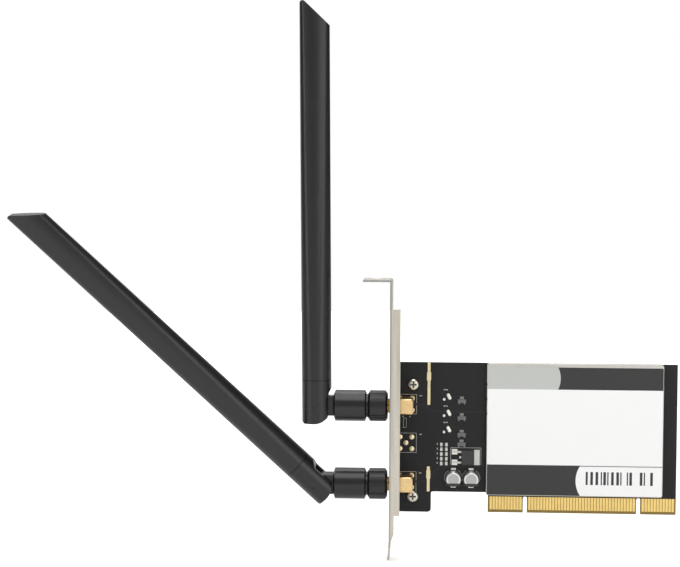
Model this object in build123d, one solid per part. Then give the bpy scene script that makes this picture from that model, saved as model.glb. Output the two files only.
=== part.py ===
"""Wireless network card for a 32-bit parallel slot, with two swivel antennas.

Millimetres.  X runs along the card away from the bracket, Z is up, and the component side faces -Y.
The origin is the middle of the finger tab's lower edge, on the board's mid-plane.
"""
from build123d import *
from math import atan2, cos, pi, radians, sin, sqrt, tan
import os

# Board
BOARD_HEIGHT = 64.41
BOARD_THICKNESS = 1.57
BOARD_BRACKET_GAP = 0.6      # from the bracket's inner face to the board's left edge
LEG_WIDTH = 16.3             # leg beside the bracket
LEG_DROP = 0.25              # how far the leg reaches below the tab
LEG_CORNER = 1.5
NOTCH_HEIGHT = 8.65          # open step between leg and tab, above the tab's lower edge
NOTCH_CORNER = 0.8
KEY_WIDTH = 1.78
KEY_DEPTH = 7.0
BEVEL_HEIGHT = 1.3           # ground lower edge of the tab
BEVEL_DEPTH = 0.45

# Gold edge contacts
PIN_PITCH = 1.27
PIN_COUNT = 62
KEY_PINS = (12, 50)          # the first of the two pins that each key notch takes away
FINGER_WIDTH = 1.02
FINGER_TOP = 6.9
PLATING = 0.05

# Slot bracket
BRACKET_THICKNESS = 0.86
BRACKET_WIDTH = 18.42
BRACKET_LENGTH = 120.02
BRACKET_REACH = 42.2         # outer face, beyond the finger tab's left end
BRACKET_FRONT = 15.4         # front edge, in front of the board's mid-plane
BRACKET_TOP = 100.3          # upper face of the top tab
BRACKET_FOLD = 1.2           # outside radius of the folds
TOP_TAB = 11.43              # beyond the outer face
SCREW_NOTCH_R = 2.21
SCREW_NOTCH_X = 6.1          # notch centre, beyond the outer face
SCREW_NOTCH_DEPTH = 3.1      # notch centre, inside the tab's rear edge
TONGUE_WIDTH = 10.16
TONGUE_LENGTH = 8.6
TONGUE_LEAN = 0.7            # how far the tip stands outwards
TONGUE_TAPER = 2.4
SHOULDER_TAPER = 2.6
FLANGE_WIDTH = 4.5           # stiffening flange along the front edge
FLANGE_TOP_GAP = 12.4        # below the top tab
FLANGE_LENGTH = 87.4
LIP_WIDTH = 2.1              # narrow lip below the flange, down to the plate's lower end
LIP_TAPER = 3.8              # slanted end of the lip
BRACKET_EDGE = 0.2           # broken edge of the front fold
EAR_HEIGHT = 4.9             # ears behind the board, for the screws
EAR_END = 3.5                # ear beyond the screw
EAR_RELIEF = 0.8

# Board screws
SCREW_INSET = 8.45           # from the board's left edge
SCREW_HEIGHTS = (6.6, 54.9)
SCREW_HEAD_R = 2.45
SCREW_HEAD_HEIGHT = 1.9
SCREW_CROWN = 1.1            # round of the head's edge
SCREW_SHANK_R = 1.45
SCREW_TIP = 1.6              # beyond the ear
SCREW_CLEARANCE = 0.05
RECESS_WIDTH = 0.75
RECESS_SPAN = 2.8
RECESS_DEPTH = 1.1
HOLE_CLEARANCE = 0.15        # board hole around a screw

# Coaxial jacks, three places of which the middle one is empty
JACK_MIDDLE = 29.6           # height of the middle place
JACK_PITCH = 16.7
JACK_INSET = 5.35            # pad pattern's centre, from the board's left edge
JACK_AXIS = 6.4              # above the board's face
JACK_BLOCK = 6.4
JACK_BLOCK_LENGTH = 6.0
JACK_BLOCK_EDGE = 0.7
JACK_LEG_GRID = 5.08
JACK_LEG_R = 0.55
JACK_LEG_TIP = 1.2           # beyond the board's back
JACK_HOLE_R = 0.65
JACK_PAD_R = 1.12
THREAD_R = 3.175
BARREL_REACH = 6.4           # beyond the bracket's outer face
BARREL_WALL = 0.875
BARREL_RECESS = 2.1          # insulator's end, inside the barrel's mouth
JACK_PIN_R = 0.46
JACK_TAIL_R = 0.4            # centre conductor's leg, down to the board
JACK_TAIL_BORE_R = 1.7
BRACKET_HOLE_GAP = 0.225     # round the barrel
SOLDER_HEIGHT = 0.8

# Antenna plug and coupling nut
NUT_GAP = 0.9                # bare thread between the bracket and the nut
NUT_R = 6.6
NUT_CHAMFER = 0.9            # along the axis
NUT_CHAMFER_DEPTH = 1.2
NUT_GROOVES = 12
GROOVE_WIDTH = 0.6
GROOVE_DEPTH = 0.2
INSERT_WALL = 1.0
INSERT_SETBACK = 0.3         # insert's mouth, inside the grip's mouth
INSERT_FLOOR = 1.7
NUT_LIP = 0.1                # grip beyond the insert's floor
RUNNING = 0.05               # radial clearance of turning fits
END_PLAY = 0.1               # axial clearance of turning fits
COLLAR_STEP = 0.375          # collar beyond the plug's tube
PLUG_COLLAR = 0.85
PLUG_LENGTH = 8.6            # behind the collar
PLUG_WALL = 0.7
SOCKET_WALL = 0.34
SOCKET_DEPTH = 1.6
PIN_ENGAGEMENT = 0.8

# Swivel sleeve
NECK_LENGTH = 0.7
NECK_R = 5.0
SLEEVE_LENGTH = 14.0
SLEEVE_R = 6.65
SLEEVE_FRONT_CHAMFER = (0.5, 1.0)    # along the axis, and towards it
SLEEVE_REAR_CHAMFER = (0.85, 2.0)
HEEL_GAP = 0.55              # between the sleeve's end and the fork's heel
KNUCKLE_R = 4.25
KNUCKLE_THICKNESS = 5.0
CABLE_R = 0.7
CABLE_GAP = 0.15             # round the lead
CABLE_SETBACK = 1.4          # sleeve's lead, short of the hinge pin

# Whip: hinge fork and blade
HINGE_PIN_R = 0.8
HINGE_PIN_INSET = 0.4        # pin's ends, inside the fork's sides
HINGE_GAP = 0.3              # round the knuckle
CHEEK_GAP = 0.15             # beside the knuckle
WHIP_OFFSET = 0.95           # whip's centre line, beside the hinge pin
WHIP_WIDTH = 12.6            # at the foot
WHIP_DEPTH = 12.1
WHIP_FLAT = 0.9              # between the corner rounds, at the foot
WHIP_CROWN = 0.1             # how far the front and the back bulge, at the foot
FORK_HEEL = 7.55             # below the pin
FORK_CORNER = 1.0
FORK_SEAM = 11.0             # above the pin, where the blade starts
FORK_STEP = 1.45             # side of the fork beside the knuckle, inside the whip's side
FORK_STEP_TOP = 4.7
FORK_STEP_RISE = 2.6
SEAM_GAP = 0.2               # open joint under the blade
SPIGOT_LENGTH = 5.0
BLADE_WALL = 1.3
BORE_CORNER = 0.3            # least corner round of the hollow
BORE_CORNER_SHARE = 0.8      # its greatest, of half of the hollow's side
BLADE_LENGTH = 171.4         # from the pin to the tip
TIP_WIDTH = 12.75
TIP_DEPTH = 6.4
TIP_ROUND = 2.3
TIP_CROWN = 1.3
TIP_SLANT = 44.2             # degrees of the cut, down from the blade's cross direction
TIP_CORNER = 1.4             # round of the tip's high corner
TIP_TOUCH = 0.05             # that round's side, outside the blade's edge
TIP_WALL = 2.0
SPIGOT_FIT = 0.05
RADIATOR_TUBE_R = 2.2
RADIATOR_TUBE_LENGTH = 32.0
RADIATOR_TUBE_WALL = 0.35
RADIATOR_CRIMP = 3.0
RADIATOR_START = 46.0        # tube's lower end, above the pin
RADIATOR_WIRE_R = 0.6
RADIATOR_WIRE_GAP = 17.0     # wire's end, below the top of the hollow

# How the two whips stand
UPPER_TILT = 0.6             # degrees from upright, towards the tip's side away from the card
UPPER_SWIVEL = 0.0
LOWER_TILT = 46.5
LOWER_SWIVEL = 9.0           # degrees towards the component side

# Shield can and label
CAN_OVERHANG = 1.0           # beyond the tab's left end
CAN_RIGHT_MARGIN = 6.1       # from the board's right end
CAN_RISE = 1.0               # above the fingers
CAN_HEIGHT = 3.2             # above the board's face
CAN_SHEET = 0.25
CAN_FIT = 0.05
CAN_CORNER = 1.0
CAN_EDGE = 0.4
SKIRT_LIFT = 0.6             # skirt's edge above the board's face
FRAME_DROP = 0.3             # fence below the cover's upper face
SLOT_PITCH = 6.33
SLOT_WIDTH = 0.8
SLOT_REACH = 0.65            # how far the left slots cut into the cover's face
SLOT_TOP = 9.2               # uppermost left slot, below the can's upper edge
SLOT_COUNT = 3
FINGER_SLOT = 1.1            # skirt slots end this far below the cover's face
LABEL_THICKNESS = 0.1
LABEL_MARGIN = 0.35
LABEL_TOP_MARGIN = 1.6
LABEL_CORNER = 0.5

# Parts on the bare board, measured from the tab's left end and up from its lower edge
REGULATOR_X = -8.8
REGULATOR_Z = 23.7
REGULATOR_LENGTH = 5.5
REGULATOR_WIDTH = 6.6
REGULATOR_HEIGHT = 2.3
REGULATOR_TAB = 2.35
REGULATOR_LEAD = 4.1
REGULATOR_LAND = 2.4         # length of the lead lands
REGULATOR_LEAD_WIDTH = 0.9
REGULATOR_LEAD_PITCH = 2.29
REGULATOR_SHEET = 0.5
REGULATOR_STUB = 0.9
REGULATOR_DRAFT = 0.25
CAPACITOR_XS = (-14.9, -7.3)
CAPACITOR_Z = 14.75
CAPACITOR_R = 3.15
CAPACITOR_HEIGHT = 5.4
CAPACITOR_BASE = 6.6
CAPACITOR_BASE_HEIGHT = 1.1
CAPACITOR_BASE_CORNER = 1.5
CAPACITOR_EDGE = 0.5
CAPACITOR_CRIMP = 0.25
CAPACITOR_LEAD_WIDTH = 2.1
CAPACITOR_LEAD_TIP = 0.9     # beyond the base
CAPACITOR_LEAD_SHEET = 0.3
RESISTOR_X = -19.05
RESISTOR_Z = 25.0
RESISTOR_PITCH = 2.05
RESISTOR_COUNT = 5
RESISTOR_LENGTH = 3.2
RESISTOR_WIDTH = 1.5
RESISTOR_HEIGHT = 0.55
TRANSISTOR_X = -11.5
TRANSISTOR_ZS = (29.3, 33.5, 40.7, 47.9)
TRANSISTOR_LENGTH = 3.5
TRANSISTOR_WIDTH = 1.5
TRANSISTOR_HEIGHT = 0.95
TRANSISTOR_TAB = 1.2         # broad leg, beyond the body
TRANSISTOR_TAB_WIDTH = 1.7
TRANSISTOR_LEAD = 0.65       # narrow legs, beyond the body
TRANSISTOR_LEAD_WIDTH = 0.5
TRANSISTOR_LEAD_PITCH = 1.15
TRANSISTOR_LEAD_SHEET = 0.15
LAND_X = -17.0               # slanted bare lands, with a round one beside each
LAND_ZS = (35.7, 42.75, 49.8)
LAND_LENGTH = 2.9
LAND_WIDTH = 1.45
LAND_SLANT = 27.0
LAND_DOT = (-2.1, -1.25)
LAND_DOT_R = 0.62
STRIP_INSET = 1.2            # gold strips' middle, inside the leg's right side
STRIP_WIDTH = 1.2
STRIP_BULGE_WIDTH = 1.75
STRIP_BULGE_LENGTH = 4.0
STRIP_BULGE_CORNER = 0.58
UPPER_STRIP_LENGTH = 18.3
UPPER_BULGE_DROP = 6.0       # bulge, below the board's upper edge
LOWER_STRIP_LENGTH = 10.8
LOWER_BULGE_RISE = 7.4       # bulge, above the notch

# What the closed can holds, measured from its lower left corner
BASEBAND_SIZE = 12.0
BASEBAND_PLACE = (35.0, 28.0)
RADIO_SIZE = 9.0
RADIO_PLACE = (17.0, 30.0)
AMPLIFIER_SIZE = 4.0
AMPLIFIER_X = 7.0
AMPLIFIER_ZS = (19.0, 30.0, 41.0)
CHIP_HEIGHT = 0.9
CRYSTAL_SIZE = (5.0, 3.2, 1.1)
CRYSTAL_PLACE = (17.0, 19.0)
INNER_SIZE = (1.6, 0.8, 0.8)
INNER_PITCH = 3.0
INNER_COLUMNS = 4
INNER_PLACE = (29.0, 14.0)
INNER_ROWS = 2

# Places worked out from the sizes above
TAB_WIDTH = (PIN_COUNT + 1) * PIN_PITCH     # finger tab, which also ends the board on the right
HALF_TAB = TAB_WIDTH / 2
FACE = -BOARD_THICKNESS / 2
BACK = BOARD_THICKNESS / 2
OUTER_X = -HALF_TAB - BRACKET_REACH
INNER_X = OUTER_X + BRACKET_THICKNESS
BOARD_LEFT = INNER_X + BOARD_BRACKET_GAP
LEG_RIGHT = BOARD_LEFT + LEG_WIDTH
FRONT_Y = -BRACKET_FRONT
REAR_Y = FRONT_Y + BRACKET_WIDTH
EAR_REAR = BACK + BRACKET_THICKNESS
SCREW_X = BOARD_LEFT + SCREW_INSET
JACK_X = BOARD_LEFT + JACK_INSET
BARREL_BORE_R = THREAD_R - BARREL_WALL
BRACKET_HOLE_R = THREAD_R + BRACKET_HOLE_GAP
INSERT_R = THREAD_R + RUNNING + INSERT_WALL
COLLAR_R = THREAD_R - RUNNING
PLUG_R = COLLAR_R - COLLAR_STEP
PLUG_BORE_R = PLUG_R - PLUG_WALL
SOCKET_R = JACK_PIN_R + RUNNING + SOCKET_WALL
CABLE_BORE_R = CABLE_R + CABLE_GAP
WHIP_ROUND = (min(WHIP_WIDTH, WHIP_DEPTH) - WHIP_FLAT) / 2
AXIS_Y = FACE - JACK_AXIS
JACK_RIGHT = JACK_X + JACK_LEG_GRID / 2 + JACK_LEG_R
JACK_LEFT = JACK_RIGHT - JACK_BLOCK_LENGTH
BLOCK_FRONT = AXIS_Y - JACK_BLOCK / 2
BARREL_END = OUTER_X - BARREL_REACH
NUT_MOUTH = OUTER_X - NUT_GAP
COLLAR_FRONT = BARREL_END - RUNNING
COLLAR_REAR = COLLAR_FRONT - PLUG_COLLAR
INSERT_REAR = COLLAR_REAR - END_PLAY - INSERT_FLOOR
NUT_REAR = INSERT_REAR - NUT_LIP
PLUG_REAR = COLLAR_REAR - PLUG_LENGTH
NECK_FRONT = NUT_REAR - END_PLAY
SLEEVE_FRONT = NECK_FRONT - NECK_LENGTH
SLEEVE_REAR = SLEEVE_FRONT - SLEEVE_LENGTH
PIVOT_X = SLEEVE_REAR - HEEL_GAP - FORK_HEEL
CAN_LEFT = -HALF_TAB - CAN_OVERHANG
CAN_RIGHT = HALF_TAB - CAN_RIGHT_MARGIN
CAN_BOTTOM = FINGER_TOP + CAN_RISE
CAN_TOP = BOARD_HEIGHT + CAN_SHEET + CAN_FIT
CAN_FACE = FACE - CAN_HEIGHT
JACK_HEIGHTS = {"upper": JACK_MIDDLE + JACK_PITCH, "lower": JACK_MIDDLE - JACK_PITCH}
WHIP_POSES = {"upper": (UPPER_TILT, UPPER_SWIVEL), "lower": (LOWER_TILT, LOWER_SWIVEL)}
FAR = 4 * BLADE_LENGTH       # longer than any piece, for cuts that run right through
SPARE = 1.0                  # how far a cut runs past a face


# Small builders
def block(x, y, z):
    """A box between two values on each axis."""
    size = [high - low for low, high in (x, y, z)]
    middle = [(high + low) / 2 for low, high in (x, y, z)]
    return Pos(*middle) * Box(*size)


def rod_x(radius, start, end, y=0.0, z=0.0):
    """A cylinder along X between two values of X."""
    return Pos((start + end) / 2, y, z) * Rot(0, 90, 0) * Cylinder(radius, abs(end - start))


def rod_y(radius, start, end, x, z):
    """A cylinder along Y between two values of Y."""
    return Pos(x, (start + end) / 2, z) * Rot(90, 0, 0) * Cylinder(radius, abs(end - start))


def chamfered_rod(radius, rear, front, rear_chamfer, front_chamfer):
    """A rod along X whose two ends are turned to cones: each chamfer's length along X, then its depth."""
    profile = Polygon(
        (rear, 0), (front, 0), (front, radius - front_chamfer[1]), (front - front_chamfer[0], radius),
        (rear + rear_chamfer[0], radius), (rear, radius - rear_chamfer[1]), align=None)
    return revolve(profile, Axis.X)


def plate(outline, near, far):
    """A flat outline in X and Z, as a plate between two values of Y."""
    return Pos(0, far, 0) * extrude(Plane.XZ * outline, far - near, dir=(0, -1, 0))


def on_board(x, z, length, width, height):
    """A box that stands on the component side."""
    return block((x - length / 2, x + length / 2), (FACE - height, FACE), (z - width / 2, z + width / 2))


def corners_at(sketch, *points):
    """The corners of a flat outline that lie nearest to given points."""
    return [sketch.vertices().sort_by_distance((x, z, 0))[0] for x, z in points]


def save(name, *solids):
    """Write one node, as one solid or as a group of separate solids."""
    found = [solid for shape in solids for solid in shape.solids()]
    export_step(found[0] if len(found) == 1 else Compound(children=found), f"parts/{name}.step")


# Circuit board
def finger_places():
    """X of each edge contact: the pins of the tab less two for each key notch."""
    missing = [first + step for first in KEY_PINS for step in (0, 1)]
    return [pin * PIN_PITCH - HALF_TAB for pin in range(1, PIN_COUNT + 1) if pin not in missing]


def key_places():
    """X of the middle of each key notch."""
    return [(first + 0.5) * PIN_PITCH - HALF_TAB for first in KEY_PINS]


def jack_legs():
    """Places of the five holes of one jack, from the pattern's centre."""
    half = JACK_LEG_GRID / 2
    return [(-half, -half), (half, -half), (-half, half), (half, half), (0, 0)]


def board():
    """Stepped outline with the leg, the finger tab with its bevel and keys, and every hole."""
    outline = Polygon(
        (BOARD_LEFT, -LEG_DROP), (LEG_RIGHT, -LEG_DROP), (LEG_RIGHT, NOTCH_HEIGHT), (-HALF_TAB, NOTCH_HEIGHT),
        (-HALF_TAB, 0), (HALF_TAB, 0), (HALF_TAB, BOARD_HEIGHT), (BOARD_LEFT, BOARD_HEIGHT), align=None)
    outline = fillet(corners_at(outline, (LEG_RIGHT, -LEG_DROP)), LEG_CORNER)
    outline = fillet(corners_at(outline, (LEG_RIGHT, NOTCH_HEIGHT), (-HALF_TAB, NOTCH_HEIGHT)), NOTCH_CORNER)
    for x in key_places():
        round_z = KEY_DEPTH - KEY_WIDTH / 2
        outline -= Pos(x, round_z / 2) * Rectangle(KEY_WIDTH, round_z)
        outline -= Pos(x, round_z) * Circle(KEY_WIDTH / 2)
    solid = plate(outline, FACE, BACK)
    for side in (-1, 1):
        wedge = Polygon(
            (side * (BACK - BEVEL_DEPTH), 0), (side * BACK, BEVEL_HEIGHT), (side * BACK, 0), align=None)
        solid -= Pos(-HALF_TAB, 0, 0) * extrude(Plane.YZ * wedge, TAB_WIDTH, dir=(1, 0, 0))
    for z in SCREW_HEIGHTS:
        solid -= rod_y(SCREW_SHANK_R + HOLE_CLEARANCE, FACE, BACK, SCREW_X, z)
    for place in (-1, 0, 1):
        for x, z in jack_legs():
            solid -= rod_y(JACK_HOLE_R, FACE, BACK, JACK_X + x, JACK_MIDDLE + place * JACK_PITCH + z)
    return solid


def edge_contacts():
    """Gold fingers on both faces of the tab, down to the bevel."""
    fingers = []
    for face, side in ((FACE, -1), (BACK, 1)):
        for x in finger_places():
            depth = sorted((face, face + side * PLATING))
            across = (x - FINGER_WIDTH / 2, x + FINGER_WIDTH / 2)
            fingers.append(block(across, depth, (BEVEL_HEIGHT, FINGER_TOP)))
    return fingers


def strip(low, high, bulge):
    """One bare gold strip with its wider stretch."""
    x = LEG_RIGHT - STRIP_INSET
    shape = Pos(x, (low + high) / 2) * Rectangle(STRIP_WIDTH, high - low)
    shape += Pos(x, bulge) * RectangleRounded(STRIP_BULGE_WIDTH, STRIP_BULGE_LENGTH, STRIP_BULGE_CORNER)
    return plate(shape, FACE - PLATING, FACE)


def ground_strips():
    """The two strips, down from the upper edge and up from the notch's level."""
    upper = strip(BOARD_HEIGHT - UPPER_STRIP_LENGTH, BOARD_HEIGHT, BOARD_HEIGHT - UPPER_BULGE_DROP)
    lower = strip(NOTCH_HEIGHT, NOTCH_HEIGHT + LOWER_STRIP_LENGTH, NOTCH_HEIGHT + LOWER_BULGE_RISE)
    return [upper, lower]


def empty_jack_pads():
    """Five holes filled with solder, with a flat tinned pad on each face."""
    plugs = []
    for x, z in jack_legs():
        place = (JACK_X + x, JACK_MIDDLE + z)
        plug = rod_y(JACK_HOLE_R, FACE, BACK, *place)
        plug += rod_y(JACK_PAD_R, FACE - PLATING, FACE, *place)
        plug += rod_y(JACK_PAD_R, BACK, BACK + PLATING, *place)
        plugs.append(plug)
    return plugs


def jack_pads():
    """Ring pads of the fitted jacks in front, and cones of solder round their legs behind."""
    rings = []
    for height in JACK_HEIGHTS.values():
        for x, z in jack_legs():
            place = (JACK_X + x, height + z)
            reach = JACK_TAIL_R if (x, z) == (0, 0) else JACK_LEG_R
            pad = rod_y(JACK_PAD_R, FACE - PLATING, FACE, *place)
            rings.append(pad - rod_y(JACK_HOLE_R, FACE - PLATING, FACE, *place))
            cone = Pos(place[0], BACK + SOLDER_HEIGHT / 2, place[1]) * Rot(-90, 0, 0) * Cone(
                JACK_PAD_R, reach + PLATING, SOLDER_HEIGHT)
            rings.append(cone - rod_y(reach, BACK, BACK + SOLDER_HEIGHT, *place))
    return rings


# Slot bracket
def bracket():
    """One folded sheet: plate, top tab, tongue, front flange with its lip, and two ears behind the board."""
    low = BRACKET_TOP - BRACKET_LENGTH + TONGUE_LENGTH
    sheet = BRACKET_THICKNESS
    solid = block((OUTER_X, INNER_X), (FRONT_Y, REAR_Y), (low, BRACKET_TOP))
    solid += block((OUTER_X - TOP_TAB, INNER_X), (FRONT_Y, REAR_Y), (BRACKET_TOP - sheet, BRACKET_TOP))
    top_corner = (INNER_X, (FRONT_Y + REAR_Y) / 2, BRACKET_TOP)
    fold = solid.edges().filter_by(Axis.Y).sort_by_distance(top_corner)[0]
    solid = fillet(fold, BRACKET_FOLD)
    flange_top = BRACKET_TOP - FLANGE_TOP_GAP
    flange_low = max(flange_top - FLANGE_LENGTH, low + LIP_TAPER + LIP_WIDTH)
    flange_right = OUTER_X + FLANGE_WIDTH
    lip_right = OUTER_X + LIP_WIDTH
    flange = Polygon(
        (OUTER_X, flange_top), (flange_right, flange_top), (flange_right, flange_low),
        (lip_right, flange_low), (lip_right, low + LIP_TAPER), (INNER_X, low), (OUTER_X, low), align=None)
    solid += plate(flange, FRONT_Y, FRONT_Y + sheet)
    flange_middle = (OUTER_X, FRONT_Y, (flange_top + flange_low) / 2)
    front_fold = solid.edges().filter_by(Axis.Z).sort_by_distance(flange_middle)[0]
    solid = chamfer(front_fold, BRACKET_EDGE)
    solid += tongue(low)
    for z in SCREW_HEIGHTS:
        around = (z - EAR_HEIGHT / 2 - EAR_RELIEF, z + EAR_HEIGHT / 2 + EAR_RELIEF)
        solid -= block((OUTER_X - SPARE, INNER_X + SPARE), (EAR_REAR, REAR_Y + SPARE), around)
        ear = block((OUTER_X, SCREW_X + EAR_END), (BACK, EAR_REAR), (z - EAR_HEIGHT / 2, z + EAR_HEIGHT / 2))
        solid += ear - rod_y(SCREW_SHANK_R + SCREW_CLEARANCE, BACK, EAR_REAR, SCREW_X, z)
    for z in JACK_HEIGHTS.values():
        solid -= rod_x(BRACKET_HOLE_R, OUTER_X - SPARE, INNER_X + SPARE, AXIS_Y, z)
    notch_x = OUTER_X - SCREW_NOTCH_X
    notch_y = REAR_Y - SCREW_NOTCH_DEPTH
    notch = Pos(notch_x, notch_y) * Circle(SCREW_NOTCH_R)
    notch += Pos(notch_x, notch_y + SCREW_NOTCH_DEPTH / 2) * Rectangle(2 * SCREW_NOTCH_R, SCREW_NOTCH_DEPTH)
    solid -= Pos(0, 0, BRACKET_TOP - sheet) * extrude(notch, sheet)
    return solid


def tongue(low):
    """Shoulders that narrow to the tongue, which leans outwards and ends in a tapered tip."""
    tip = BRACKET_TOP - BRACKET_LENGTH
    middle = (FRONT_Y + REAR_Y) / 2
    half = TONGUE_WIDTH / 2
    wide = BRACKET_WIDTH / 2
    side = Polygon(
        (OUTER_X, low), (INNER_X, low),
        (INNER_X - TONGUE_LEAN, tip), (OUTER_X - TONGUE_LEAN, tip), align=None)
    front = Polygon(
        (middle - wide, low), (middle + wide, low), (middle + half, low - SHOULDER_TAPER),
        (middle + half, tip + TONGUE_TAPER), (middle + half - TONGUE_TAPER, tip),
        (middle - half + TONGUE_TAPER, tip), (middle - half, tip + TONGUE_TAPER),
        (middle - half, low - SHOULDER_TAPER), align=None)
    leaning = plate(side, FRONT_Y, REAR_Y)
    return leaning & (Pos(OUTER_X - FAR / 2, 0, 0) * extrude(Plane.YZ * front, FAR, dir=(1, 0, 0)))


def bracket_screws():
    """Pan-head screws with a cross recess, from the component side into the ears."""
    screws = []
    for z in SCREW_HEIGHTS:
        head = rod_y(SCREW_HEAD_R, FACE - SCREW_HEAD_HEIGHT, FACE, SCREW_X, z)
        crown = head.edges().filter_by(GeomType.CIRCLE).sort_by(Axis.Y)[0]
        head = fillet(crown, SCREW_CROWN)
        recess = (FACE - SCREW_HEAD_HEIGHT, FACE - SCREW_HEAD_HEIGHT + RECESS_DEPTH)
        half, thin = RECESS_SPAN / 2, RECESS_WIDTH / 2
        head -= block((SCREW_X - half, SCREW_X + half), recess, (z - thin, z + thin))
        head -= block((SCREW_X - thin, SCREW_X + thin), recess, (z - half, z + half))
        screws.append(head + rod_y(SCREW_SHANK_R, FACE, EAR_REAR + SCREW_TIP, SCREW_X, z))
    return screws


# Coaxial jacks
def jack_body(z):
    """Block on four legs, with the threaded barrel out through the bracket."""
    upright = (z - JACK_BLOCK / 2, z + JACK_BLOCK / 2)
    solid = block((JACK_LEFT, JACK_RIGHT), (BLOCK_FRONT, FACE - PLATING), upright)
    solid = fillet(solid.edges().filter_by(Axis.Y), JACK_BLOCK_EDGE)
    solid += rod_x(THREAD_R, BARREL_END, JACK_LEFT + JACK_BLOCK_EDGE, AXIS_Y, z)
    solid -= rod_x(BARREL_BORE_R, BARREL_END, JACK_X + BARREL_BORE_R, AXIS_Y, z)
    solid -= rod_y(JACK_TAIL_BORE_R, AXIS_Y, FACE, JACK_X, z)
    for x, rise in jack_legs()[:4]:
        solid += rod_y(JACK_LEG_R, FACE - 2 * PLATING, BACK + JACK_LEG_TIP, JACK_X + x, z + rise)
    return solid


def jack_pin(z):
    """Centre conductor: along the axis, then down into the board."""
    tip = COLLAR_FRONT - PIN_ENGAGEMENT
    return (rod_x(JACK_PIN_R, tip, JACK_X + JACK_PIN_R, AXIS_Y, z)
            + rod_y(JACK_TAIL_R, AXIS_Y, BACK + JACK_LEG_TIP, JACK_X, z))


def jack_insulator(z):
    """White filling of the barrel and of the block's lower bore, round the conductor."""
    mouth = BARREL_END + BARREL_RECESS
    solid = rod_x(BARREL_BORE_R, mouth, JACK_X + BARREL_BORE_R, AXIS_Y, z)
    solid += rod_y(JACK_TAIL_BORE_R, AXIS_Y, FACE - PLATING, JACK_X, z)
    return solid - jack_pin(z)


# Antenna: plug and nut, turned about the jack's axis
def nut_insert():
    """Threaded brass insert, with the floor that the plug's collar holds."""
    solid = rod_x(INSERT_R, NUT_MOUTH - INSERT_SETBACK, INSERT_REAR)
    solid -= rod_x(THREAD_R + RUNNING, NUT_MOUTH, COLLAR_REAR - END_PLAY)
    return solid - rod_x(PLUG_R + RUNNING, NUT_MOUTH, INSERT_REAR)


def coupling_nut():
    """Grip moulded round the insert, with grooves along it and chamfered ends."""
    ring = Circle(NUT_R)
    groove = Rectangle(2 * GROOVE_DEPTH, GROOVE_WIDTH)
    ring -= [Rot(0, 0, 360 * k / NUT_GROOVES) * Pos(NUT_R, 0) * groove for k in range(NUT_GROOVES)]
    solid = Pos(NUT_REAR, 0, 0) * extrude(Plane.YZ * ring, NUT_MOUTH - NUT_REAR, dir=(1, 0, 0))
    chamfers = (NUT_CHAMFER, NUT_CHAMFER_DEPTH)
    solid &= chamfered_rod(NUT_R, NUT_REAR, NUT_MOUTH, chamfers, chamfers)
    return solid - rod_x(INSERT_R, NUT_MOUTH, NUT_REAR)


def plug_body():
    """Brass tube that the sleeve and the nut turn on, with the collar that meets the jack."""
    solid = rod_x(COLLAR_R, COLLAR_FRONT, COLLAR_REAR) + rod_x(PLUG_R, COLLAR_REAR, PLUG_REAR)
    return solid - rod_x(PLUG_BORE_R, COLLAR_FRONT, PLUG_REAR)


def plug_socket():
    """Centre contact with the socket for the jack's pin."""
    depth = COLLAR_FRONT - SOCKET_DEPTH
    return rod_x(SOCKET_R, COLLAR_FRONT, PLUG_REAR) - rod_x(JACK_PIN_R + RUNNING, COLLAR_FRONT, depth)


def plug_insulator():
    """Dielectric between the plug's tube and its contact."""
    return rod_x(PLUG_BORE_R, COLLAR_REAR, PLUG_REAR) - rod_x(SOCKET_R, COLLAR_FRONT, PLUG_REAR)


# Antenna: sleeve
def swivel_sleeve():
    """Neck, chamfered sleeve and the flat knuckle for the hinge pin."""
    solid = chamfered_rod(SLEEVE_R, SLEEVE_REAR, SLEEVE_FRONT, SLEEVE_REAR_CHAMFER, SLEEVE_FRONT_CHAMFER)
    solid += rod_x(NECK_R, NECK_FRONT, SLEEVE_FRONT)
    half = KNUCKLE_THICKNESS / 2
    knuckle = block((PIVOT_X, SLEEVE_REAR), (-half, half), (-KNUCKLE_R, KNUCKLE_R))
    knuckle += rod_y(KNUCKLE_R, -half, half, PIVOT_X, 0)
    solid += knuckle
    solid -= rod_y(HINGE_PIN_R + RUNNING, -half, half, PIVOT_X, 0)
    solid -= rod_x(PLUG_R + RUNNING, NECK_FRONT, PLUG_REAR - END_PLAY)
    return solid - rod_x(CABLE_BORE_R, PLUG_REAR, cable_end())


def cable_end():
    """X where the sleeve's lead stops, short of the hinge pin."""
    return PIVOT_X + HINGE_PIN_R + CABLE_SETBACK


def sleeve_cable():
    """Coaxial lead from the plug to the hinge."""
    return rod_x(CABLE_R, PLUG_REAR - END_PLAY, cable_end())


# Antenna: whip, upright with the hinge pin along Y at the origin
def whip_section(width, depth, corner, crown, z):
    """Section of the whip at one height: straight sides, bulging front and back, and rounded corners."""
    x = width / 2
    y = depth / 2
    front = ThreePointArc((-x, crown - y), (0, -y), (x, crown - y))
    back = ThreePointArc((x, y - crown), (0, y), (-x, y - crown))
    right = Line((x, crown - y), (x, y - crown))
    left = Line((-x, y - crown), (-x, crown - y))
    outline = make_face(front + right + back + left)
    return Plane.XY.offset(z) * Pos(WHIP_OFFSET, 0) * fillet(outline.vertices(), corner)


def knuckle_pocket():
    """Room for the knuckle, from upright to straight."""
    reach = KNUCKLE_R + HINGE_GAP
    half = KNUCKLE_THICKNESS / 2 + CHEEK_GAP
    pocket = rod_y(reach, -half, half, 0, 0)
    pocket += block((0, FAR), (-half, half), (-FAR, reach))
    return pocket + block((-reach, FAR), (-half, half), (-FAR, 0))


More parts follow.
